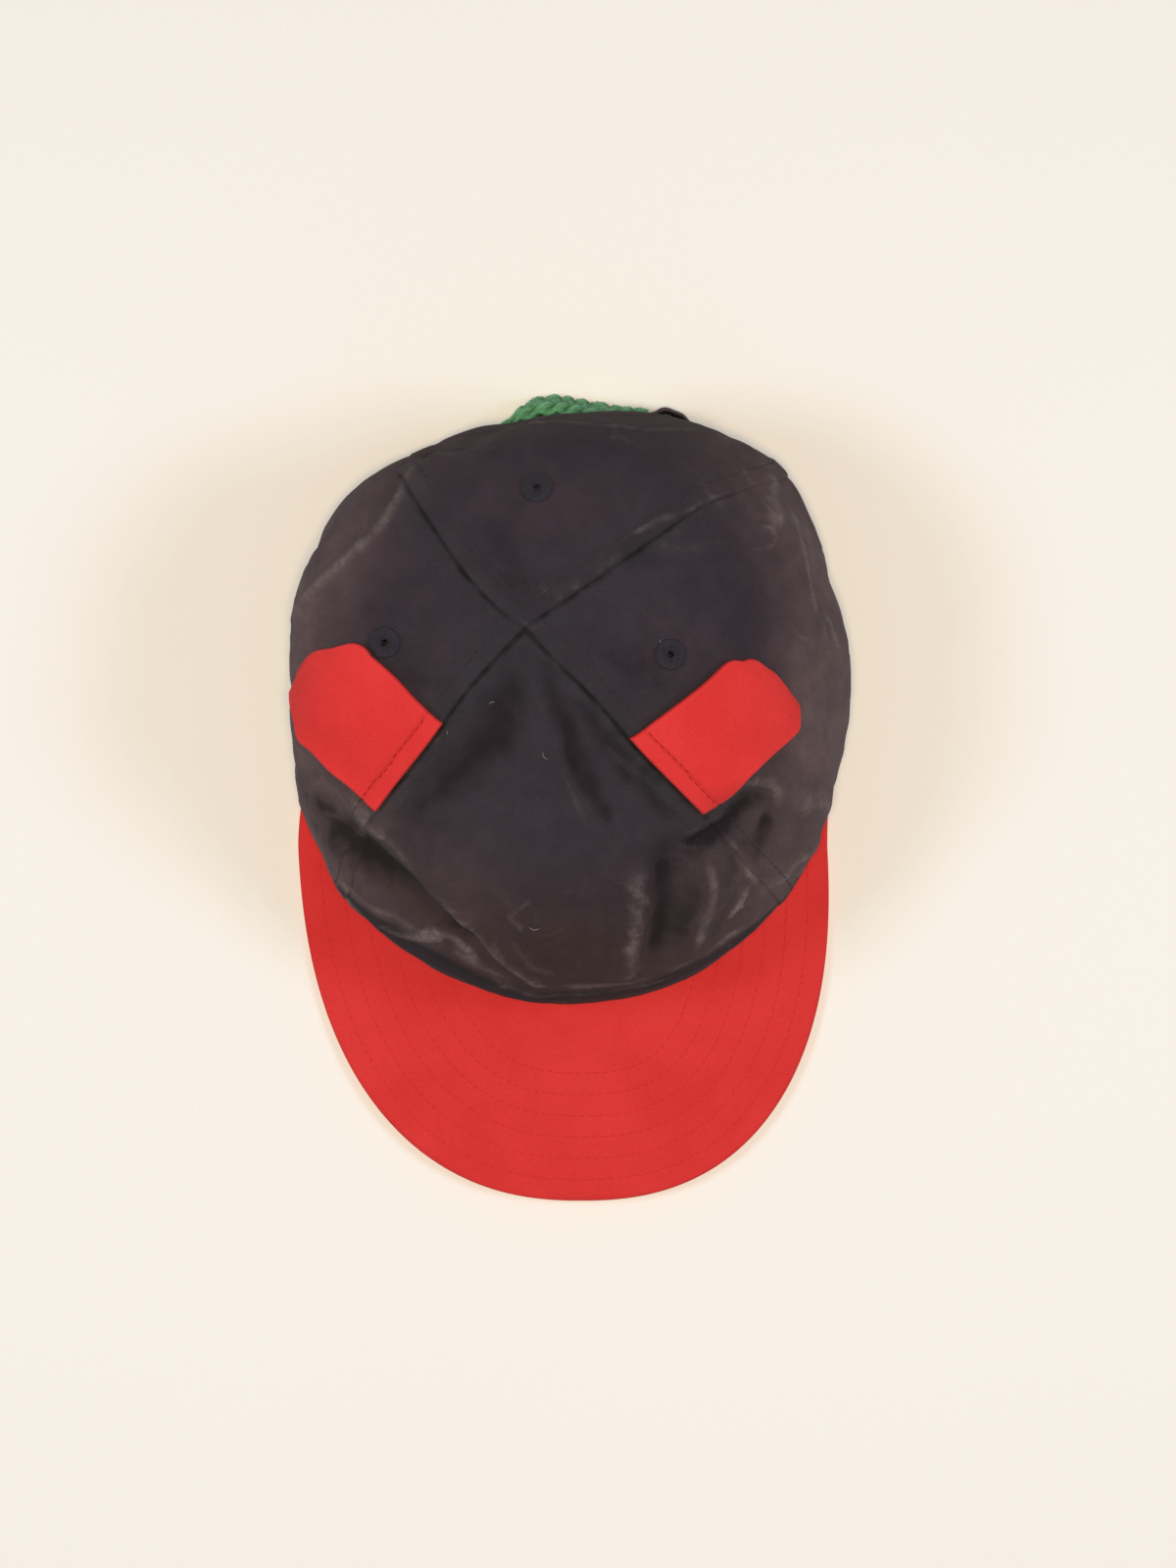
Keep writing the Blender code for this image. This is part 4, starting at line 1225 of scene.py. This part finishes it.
def closed_faces(columns, rows):
    """Faces of an upper grid and of a lower one that share their outer edge."""
    upper = np.arange(rows * columns).reshape(rows, columns)
    lower = upper.copy()
    lower[1:-1, 1:-1] = rows * columns + np.arange((rows - 2) * (columns - 2)).reshape(rows - 2, -1)
    faces = []
    for grid, turned in ((upper, False), (lower, True)):
        quads = np.stack((grid[:-1, :-1], grid[:-1, 1:], grid[1:, 1:], grid[1:, :-1]), -1).reshape(-1, 4)
        faces += (quads[:, ::-1] if turned else quads).tolist()
    return faces


def make_ear(name, table, seam, side, node):
    columns, rows = 56, 84
    across, up = np.meshgrid(crowded(columns), crowded(rows))
    station = row_at(table, up)
    down = across if side > 0 else 1.0 - across
    rise = mix(station.upper_rise, station.lower_rise, down)
    away = mix(station.upper_turn, station.lower_turn, down)
    line = seam_turn(seam, rise)
    turns = line + side * (away + 0.00025 / degree_length(line, rise))
    lift = EAR_LIFT + EAR_PUFF * np.sin(math.pi * up)
    under = crown_cloth(turns, rise, lift, fine=False)[0]
    out = crown_normal(turns, rise)
    from_base, from_tip = walked(under, 0)
    from_side, from_other = walked(under, 1)
    rim = np.minimum(np.minimum(from_base, from_tip), np.minimum(from_side, from_other))
    round_edge = np.sqrt(1.0 - (1.0 - np.clip(rim / 0.0013, 0.0, 1.0)) ** 2)
    groove = bell(from_base - EAR_STITCH, 0.00045)
    puff = 0.00035 * smoothstep(0.0, 0.012, rim) + 0.00022 * noise_at(under, 0.013, 6.1)
    puff += 0.0001 * noise_at(under, 0.005, 2.2)
    low = 0.30 * EAR_THICKNESS * (1.0 - round_edge)
    high = EAR_THICKNESS * mix(0.30, 1.0, round_edge) + puff * round_edge - 0.0006 * groove
    # Rubbed light just inside the edge; painted shade along the very edge and in the stitch groove
    crest = 0.5 * bell(rim - 0.0012, 0.0006) - 1.2 * bell(rim, 0.0005) - 1.0 * groove
    upper = under + out * high[..., None]
    lower = (under + out * low[..., None])[1:-1, 1:-1]
    points = np.concatenate((upper.reshape(-1, 3), lower.reshape(-1, 3)))
    ear = make_solid(name, points, closed_faces(columns, rows), RED)
    inside = (slice(1, -1), slice(1, -1))
    ways = (np.concatenate((way.ravel(), way[inside].ravel())) for way in (from_side, from_base))
    lay_threads(ear, *ways)
    mark(ear, "crest", np.concatenate((crest.ravel(), crest[inside].ravel() * 0.0)))
    stand_for(ear, node)
    row = np.argmin(np.abs(from_base - EAR_STITCH), axis=0)
    column = np.arange(3, columns - 3)
    return upper[row[column], column], out[row[column], column]


# ---------------------------------------------------------------- eyelets


def make_eyelet(eyelet):
    """An embroidered ring: threads laid outward from a small hole, each a little uneven."""
    threads, each, steps = 38, 6, 15
    angle = np.linspace(0.0, 2 * math.pi, threads * each, endpoint=False)
    profile = np.linspace(0.0, 1.0, steps)
    across = np.clip((profile - 0.12) / 0.88, 0, 1)
    ridge = np.abs(np.cos(angle * threads / 2))
    uneven = np.array([noise.noise((i // each * 1.7, eyelet.turn, 0.5)) for i in range(len(angle))])
    outer = EYELET_RADIUS * (1.0 + 0.035 * uneven + 0.02 * ridge)
    reach = mix(EYELET_HOLE, outer[:, None], smoothstep(0.12, 1.0, profile) * 0.35 + 0.65 * across)
    dome = np.sqrt(np.clip(1.0 - (2 * across - 1.0) ** 2, 0, 1)) ** 0.7
    level = EYELET_HEIGHT * dome * (0.78 + 0.22 * ridge[:, None])
    level = level - 0.0009 * (profile < 0.06) - 0.0003 * (profile > 0.98)
    out = crown_normal(eyelet.turn, eyelet.rise)
    centre = crown_cloth(eyelet.turn, eyelet.rise, 0.0003, fine=False)[0]
    side = unit(np.cross(out, (0.3, 1.0, 0.2)))
    other = np.cross(out, side)
    ways = np.cos(angle)[:, None, None] * side + np.sin(angle)[:, None, None] * other
    points = centre + reach[..., None] * ways + level[..., None] * out
    faces = []
    for i in range(len(angle)):
        a, b = i * steps, (i + 1) % len(angle) * steps
        faces += [[a + k, a + k + 1, b + k + 1, b + k] for k in range(steps - 1)]
    ring = make_solid(eyelet.name + "_thread", points, faces, EYELET_THREAD)
    stand_for(ring, eyelet.name)


# ---------------------------------------------------------------- strap


def strap_line(x):
    along = np.clip((x - ARCH_SIDE) / ARCH_HALF_WIDTH, -1.0, 1.0)
    turn = np.degrees(np.arccos(rounded(x / RIM_HALF_WIDTH, 4.0 / BACK_ROUNDNESS)))
    return crown_base(turn, 0.0 * turn)[..., 1] - CLOTH / 2 + STRAP_BULGE * row_at(STRAP, along).stand


def arch_side_at(z):
    return ARCH_HALF_WIDTH * np.sqrt(np.maximum(0.0, 1.0 - (z / ARCH_HEIGHT) ** 2))


def strip_faces(columns, ring):
    """The faces of a closed strip whose points are laid section by section."""
    ends = [list(range(ring)), [(columns - 1) * ring + k for k in reversed(range(ring))]]
    return [face[::-1] for face in tube_faces(columns, ring)] + ends


def strip_ring(height, thickness, count):
    """Round a strip's section: offsets through its thickness, heights, and angles."""
    angle = np.linspace(0.0, 2 * math.pi, count, endpoint=False)
    through = rounded(np.cos(angle), 3.2) * thickness / 2
    up = height / 2 + rounded(np.sin(angle), 6.0) * height / 2
    return through, up, angle


def gathers(x, z, share):
    wave = np.sin(2 * math.pi * (x + GATHER_SLANT * z) / GATHER_PITCH + 0.9 * np.sin(x * 310.0))
    return wave * smoothstep(0.0, 0.08, share) * smoothstep(1.0, 0.94, share)


def make_band():
    columns, ring = 230, 48
    through, up, angle = strip_ring(BAND_HEIGHT, BAND_THICKNESS, ring)
    share = np.linspace(0.0, 1.0, columns)[:, None]
    z = STRAP_BOTTOM + up[None, :] + 0.0 * share
    x = mix(ARCH_SIDE - arch_side_at(z) + STRAP_CLEARANCE * 0.3, BAND_END, share)
    wave = gathers(x, z, share)
    sharp = np.sign(wave) * np.abs(wave) ** 0.8
    spread = 1.0 + 0.08 * sharp * np.sign(np.cos(angle))[None, :]
    lean = BAND_LEAN * up[None, :] / BAND_HEIGHT * smoothstep(0.10, 0.40, share) * smoothstep(1.0, 0.70, share)
    y = strap_line(x) - lean + GATHER_DEPTH * sharp + through[None, :] * spread
    z = z + 0.0005 * sharp * (up[None, :] / BAND_HEIGHT > 0.7)
    points = np.stack((x, y, z), -1)
    band = make_solid("band_terry", points + PLACE, strip_faces(columns, ring), TERRY)
    crest = sharp * np.cos(angle)[None, :]
    mark(band, "crest", crest)
    stand_for(band, "back_band")
    loops = make_loops(points, crest)


def make_loops(points, crest):
    """The band's pile: short bent loops of yarn standing out of it all over."""
    chance = np.random.default_rng(11)
    columns, ring = crest.shape
    centre = points.mean(1, keepdims=True)
    corners, faces, marks = [], [], []
    for row in chance.uniform(1, columns - 2, BAND_LOOPS):
        i, k = int(row), int(chance.integers(ring))
        root = mix(points[i, k], points[i + 1, (k + 1) % ring], chance.uniform())
        out = points[i, k] - centre[i, 0]
        flat = abs(out[2]) < 0.42 * BAND_HEIGHT
        outward, upward = np.sign(out[1]), np.sign(out[2])
        out = np.array((0.0, outward, 0.25) if flat else (0.0, 0.5 * outward, upward))
        out = unit(out + chance.normal(0, 0.32, 3))
        side = unit(np.cross(out, chance.normal(0, 1, 3)))
        bend = np.cross(out, side)
        tall, wide = chance.uniform(0.00025, 0.0005), chance.uniform(0.00010, 0.00016)
        first = len(corners)
        for level, lean in ((-0.3, 0.0), (0.55, 0.12), (1.0, 0.55)):
            middle = root + out * tall * level + bend * tall * lean
            girth = wide * (1.0 if level < 0.9 else 0.5)
            other = middle - side * girth * 0.5
            corners += [middle + side * girth, other + bend * girth * 0.8, other - bend * girth * 0.8]
        faces += tube_faces(3, 3, first)
        faces.append([first + 6, first + 7, first + 8])
        # Painted shade at each loop's root, lighter towards its tip
        marks += [crest[i, k] * 0.9 - 0.25] * 3 + [crest[i, k] * 0.9] * 3 + [crest[i, k] * 0.9 + 0.25] * 3
    loops = make_solid("band_loops", np.array(corners) + PLACE, faces, TERRY)
    mark(loops, "crest", marks)
    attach(loops, "root")
    return loops


def make_tab():
    columns, ring = 90, 36
    through, up, _ = strip_ring(TAB_HEIGHT, TAB_THICKNESS, ring)
    share = np.linspace(0.0, 1.0, columns)[:, None]
    z = STRAP_BOTTOM + up[None, :] + 0.0 * share
    x = mix(BAND_END - 0.002, ARCH_SIDE + arch_side_at(z) - STRAP_CLEARANCE * 0.3, share)
    y = strap_line(x) + through[None, :] + 0.0003 * np.sin(x * 900.0)
    z = z + 0.0003 * np.sin(x * 520.0) * (up[None, :] / TAB_HEIGHT)
    points = np.stack((x, y, z), -1)
    tab = make_solid("tab_cloth", points + PLACE, strip_faces(columns, ring), NAVY)
    lay_threads(tab, x, z)
    mark(tab, "crest", 0.6 * bell(up[None, :] - TAB_HEIGHT, 0.0008) + 0.0 * x)
    mark(tab, "warm", 0.5 + 0.0 * x)
    stand_for(tab, "strap_tab")


# ---------------------------------------------------------------- lint


def make_lint():
    """A few pale fibres caught on the crown."""
    for number, speck in enumerate(LINT, 1):
        centre = crown_cloth(speck.turn, speck.rise, 0.00025)[0]
        out = crown_normal(speck.turn, speck.rise)
        heading = math.radians(speck.heading)
        way = np.array((math.cos(heading), math.sin(heading), 0.0))
        way = unit(way - out * (way @ out))
        share = np.linspace(-0.5, 0.5, 12)[:, None]
        bow = np.cross(out, way) * speck.length * 0.25 * (0.25 - share**2) * 4
        route = centre + way * speck.length * share + bow + out * 0.0001 * np.cos(share * 9)
        side = unit(np.cross(way, out))
        ring = np.cos(THREAD_ANGLES)[:, None] * side + np.sin(THREAD_ANGLES)[:, None] * out
        girth = 0.00010 * np.sqrt(np.clip(1.02 - (2 * share) ** 2, 0, 1))
        points = route[:, None] + ring[None] * girth[:, None]
        fibre = make_solid(f"lint_{number}", points, tube_faces(len(share), THREAD_SIDES), LINT_THREAD)
        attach(fibre, "root")


# ---------------------------------------------------------------- making

# Middle and rows are how many columns and rows of vertices a panel has between its seams. Flat and area
# are its cloth before it is sewn, in metres and square metres.
Panel = namedtuple("Panel", "node first second middle rows flat area")
for panel in (
    Panel("front_panel", FRONT_LEFT_SEAM, FRONT_RIGHT_SEAM, 104, 160, (0.151, 0.172), 0.0170),
    Panel("right_panel", FRONT_RIGHT_SEAM, BACK_RIGHT_SEAM, 100, 160, (0.142, 0.170), 0.0158),
    Panel("back_panel", BACK_RIGHT_SEAM, BACK_LEFT_SEAM, 128, 190, (0.127, 0.156), 0.0102),
    Panel("left_panel", BACK_LEFT_SEAM, FRONT_LEFT_SEAM, 104, 160, (0.156, 0.163), 0.0159),
):
    make_panel(panel)
sew_crown()
make_peak()
sew_peak()
ear_rows = [
    make_ear("left_ear_cloth", LEFT_EAR, FRONT_LEFT_SEAM, -1, "left_ear"),
    make_ear("right_ear_cloth", RIGHT_EAR, FRONT_RIGHT_SEAM, 1, "right_ear"),
]
make_stitches("ear_stitches", ear_rows, RED_THREAD, pitch=0.0026, length=0.0020)
for eyelet in EYELETS:
    make_eyelet(eyelet)
make_band()
make_tab()
make_lint()

# ---------------------------------------------------------------- studio

CAMERA_HEIGHT = 1.4
CAMERA_SIDE = 0.0056
CAMERA_BACK = -0.0242
MILLIMETRES_A_PIXEL = 0.31
PHOTO_HEIGHT = 1600
SENSOR = 36.0
FLOOR_HALF_WIDTH = 3.0

# Round lamps, which all point at the frame's origin; power in watts
Lamp = namedtuple("Lamp", "name place size power colour")
LAMPS = (
    Lamp("overhead", (0.0, -0.06, 2.2), 0.34, 36.5, (1.0, 0.82, 0.49)),
    Lamp("side", (-0.82, 0.0, 1.01), 0.45, 6.3, (0.46, 0.69, 1.0)),
    Lamp("side", (0.82, 0.0, 1.01), 0.45, 6.3, (0.46, 0.69, 1.0)),
)
ROOM_LIGHT = (0.40, 0.60, 1.0, 1.0)
ROOM_STRENGTH = 0.24


def lay_floor():
    points = [(x * FLOOR_HALF_WIDTH, y * FLOOR_HALF_WIDTH, 0.0) for x, y in ((-1, -1), (1, -1), (1, 1), (-1, 1))]
    floor = make_piece("pale_floor", points, [[0, 1, 2, 3]], pale_paper(), smooth=False)


def hang(lamp):
    light = bpy.data.lights.new(lamp.name, "AREA")
    light.shape, light.size, light.energy, light.color = "DISK", lamp.size, lamp.power, lamp.colour
    holder = bpy.data.objects.new(lamp.name, light)
    bpy.context.scene.collection.objects.link(holder)
    holder.location = lamp.place
    holder.rotation_mode = "QUATERNION"
    holder.rotation_quaternion = (-Vector(lamp.place)).to_track_quat("-Z", "Y")


def light_studio():
    """A warm lamp beside the camera, with cool soft light all round it and from both sides."""
    world = bpy.data.worlds.new("soft_room")
    world.use_nodes = True
    background = world.node_tree.nodes["Background"].inputs
    background[0].default_value, background[1].default_value = ROOM_LIGHT, ROOM_STRENGTH
    bpy.context.scene.world = world
    for lamp in LAMPS:
        hang(lamp)


def set_camera():
    camera = bpy.data.cameras.new("photo_camera")
    camera.sensor_width = SENSOR
    camera.lens = SENSOR * CAMERA_HEIGHT / (PHOTO_HEIGHT * MILLIMETRES_A_PIXEL * MM)
    holder = bpy.data.objects.new("photo_camera", camera)
    bpy.context.scene.collection.objects.link(holder)
    holder.location = (CAMERA_SIDE + PLACE[0], CAMERA_BACK + PLACE[1], CAMERA_HEIGHT)
    bpy.context.scene.camera = holder


lay_floor()
light_studio()
set_camera()
bpy.context.scene.view_settings.view_transform = "Standard"
